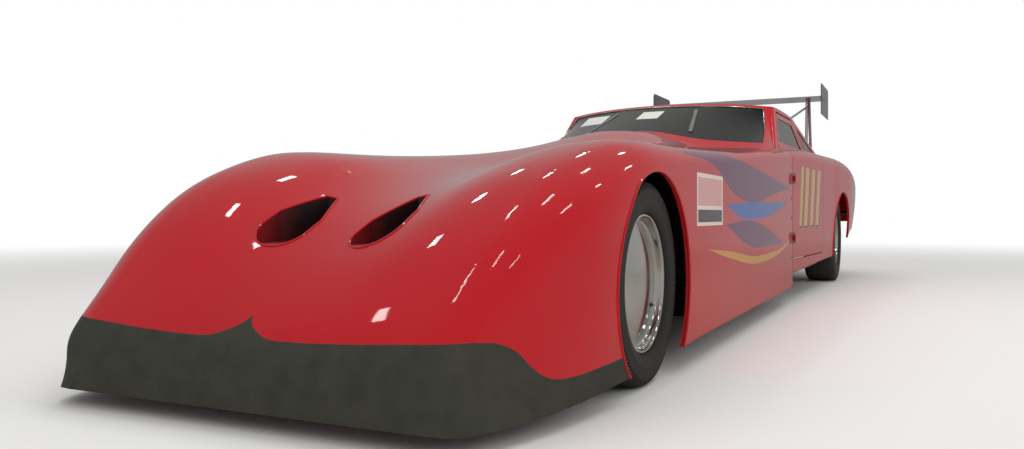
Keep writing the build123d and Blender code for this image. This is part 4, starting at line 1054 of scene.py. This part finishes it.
def swell(pads):
    """Inflates each pad with cloth pressure, and moves no point further than the most that is set."""
    for pad in pads:
        sim = pad.modifiers.new("swell", "CLOTH")
        sim.settings.use_pressure = True
        sim.settings.uniform_pressure_force = 4
        sim.settings.effector_weights.gravity = 0
        sim.settings.quality = 5
        sim.point_cache.frame_start = 1
        sim.point_cache.frame_end = SWELL_FRAMES
    for moment in range(1, SWELL_FRAMES + 1):
        scene.frame_set(moment)
    tree = bpy.context.evaluated_depsgraph_get()
    for pad in pads:
        swelled = bpy.data.meshes.new_from_object(pad.evaluated_get(tree))
        for was, now in zip(pad.data.vertices, swelled.vertices):
            move = now.co - was.co
            if move.length > SWELL_MOST:
                now.co = was.co + move.normalized() * SWELL_MOST
        pad.modifiers.clear()
        name = pad.data.name
        pad.data = swelled
        swelled.name = name
    scene.frame_set(1)


# How far the shoulder belts are from the seat's middle.
BELT_OUT = 0.062


def harness():
    """Five flat belts laid on the pads, with their buckle."""
    belts = bmesh.new()
    for sign in (-1, 1):
        x = SEAT_X + sign * BELT_OUT
        run = [(x, 4.043, 0.80), (x, 4.042, 0.872), (x, 4.022, 0.888), (x, 3.975, 0.880), (x, 3.952, 0.84),
               (x, 3.925, 0.72), (x, 3.894, 0.58), (x, 3.862, 0.44), (x - sign * 0.004, 3.845, 0.404),
               (x - sign * 0.02, 3.80, 0.394), (x - sign * 0.048, 3.72, 0.402)]
        strap(belts, run, (0.044, 0, 0), 0.002)
        run = [(SEAT_X + sign * 0.174, 3.845, 0.372), (SEAT_X + sign * 0.165, 3.83, 0.400),
               (SEAT_X + sign * 0.12, 3.80, 0.402), (SEAT_X + sign * 0.06, 3.75, 0.404),
               (SEAT_X + sign * 0.02, 3.71, 0.408)]
        strap(belts, run, (0, 0.042, 0.004), 0.002)
    run = [(SEAT_X, s, z) for s, z in ((3.505, 0.392), (3.54, 0.404), (3.62, 0.406), (3.69, 0.408))]
    strap(belts, run, (0.04, 0, 0), 0.002)
    piece("harness_belts", belts, webbing)
    buckle = bmesh.new()
    drum(buckle, (SEAT_X, 3.70, 0.4085), (0, -0.1, 1), 0.031, 0.010, 0.029)
    drum(buckle, (SEAT_X, 3.699, 0.418), (0, -0.1, 1), 0.022, 0.004, 0.019)
    latch = facing((SEAT_X, 3.6985, 0.4215), (0, -0.1, 1), 0.4)
    block(buckle, (-0.006, -0.020, 0), (0.006, 0.020, 0.006), latch, 0.002)
    piece("harness_buckle", buckle, machined)
    slides = bmesh.new()
    for sign in (-1, 1):
        x = SEAT_X + sign * BELT_OUT
        block(slides, (x - 0.028, 3.918, 0.715), (x + 0.028, 3.926, 0.745), round_by=0.002)
    piece("harness_slides", slides, machined)


def pedals():
    """Three hanging pedals on a bracket at the firewall."""
    arms = bmesh.new()
    block(arms, (0.20, 2.5725, 0.575), (0.455, 2.60, 0.625), round_by=0.003)
    for x in (0.235, 0.325, 0.425):
        tubes(arms, [[(x, 2.60, 0.60), (x, 2.635, 0.585), (x, 2.66, 0.50), (x, 2.672, 0.40)]], 0.006)
    piece("pedal_arms", arms, steel)
    pads = bmesh.new()
    for x, half, low in ((0.235, 0.028, 0.365), (0.325, 0.028, 0.365), (0.425, 0.022, 0.335)):
        block(pads, (x - half, 2.670, low), (x + half, 2.676, 0.425), round_by=0.002)
        for count in range(4):
            block(pads, (x - half + 0.005, 2.6755, low + 0.012 + 0.014 * count),
                  (x + half - 0.005, 2.6785, low + 0.016 + 0.014 * count))
    piece("pedal_pads", pads, machined)


def tunnel_and_shifter():
    """Folded sheet cover over the propeller shaft, with the gear lever on it."""
    tunnel = bmesh.new()
    front, rear, half = 2.76, 4.09, 0.082
    flank = [(half + 0.02, 0.1772), (half, 0.1785), (half - 0.004, 0.36), (half - 0.022, 0.402),
             (0.035, 0.414)]
    outline = [(-x, z) for x, z in flank] + flank[::-1]
    corners = [tunnel.verts.new((x, front, z)) for x, z in outline]
    edges = [tunnel.edges.new(pair) for pair in zip(corners, corners[1:])]
    grown = bmesh.ops.extrude_edge_only(tunnel, edges=edges)["geom"]
    bmesh.ops.translate(tunnel, verts=only(grown, bmesh.types.BMVert), vec=(0, rear - front, 0))
    bmesh.ops.solidify(tunnel, geom=only(grown, bmesh.types.BMFace), thickness=0.0015)
    piece("shaft_tunnel", tunnel, sheet)
    lever = bmesh.new()
    block(lever, (-0.032, 3.22, 0.415), (0.032, 3.36, 0.435), round_by=0.004)
    tubes(lever, [[(0, 3.29, 0.43), (0, 3.30, 0.50), (0, 3.325, 0.58), (0, 3.33, 0.625)]], 0.0065)
    piece("gear_lever", lever, machined)
    knob = spun([(-0.022, 0), (-0.021, 0.011), (-0.012, 0.018), (0, 0.0215), (0.012, 0.018), (0.020, 0.009),
                 (0.022, 0)], 32)
    matrix = facing((0, 3.331, 0.642), (0, 0, 1)) @ Matrix.Rotation(math.pi / 2, 4, "Y")
    bmesh.ops.transform(knob, matrix=matrix, verts=knob.verts)
    piece("gear_knob", knob, dial_black)


steering_wheel()
dash_controls()
bucket_seat()
seat_pads()
harness()
pedals()
tunnel_and_shifter()

bpy.context.view_layer.update()
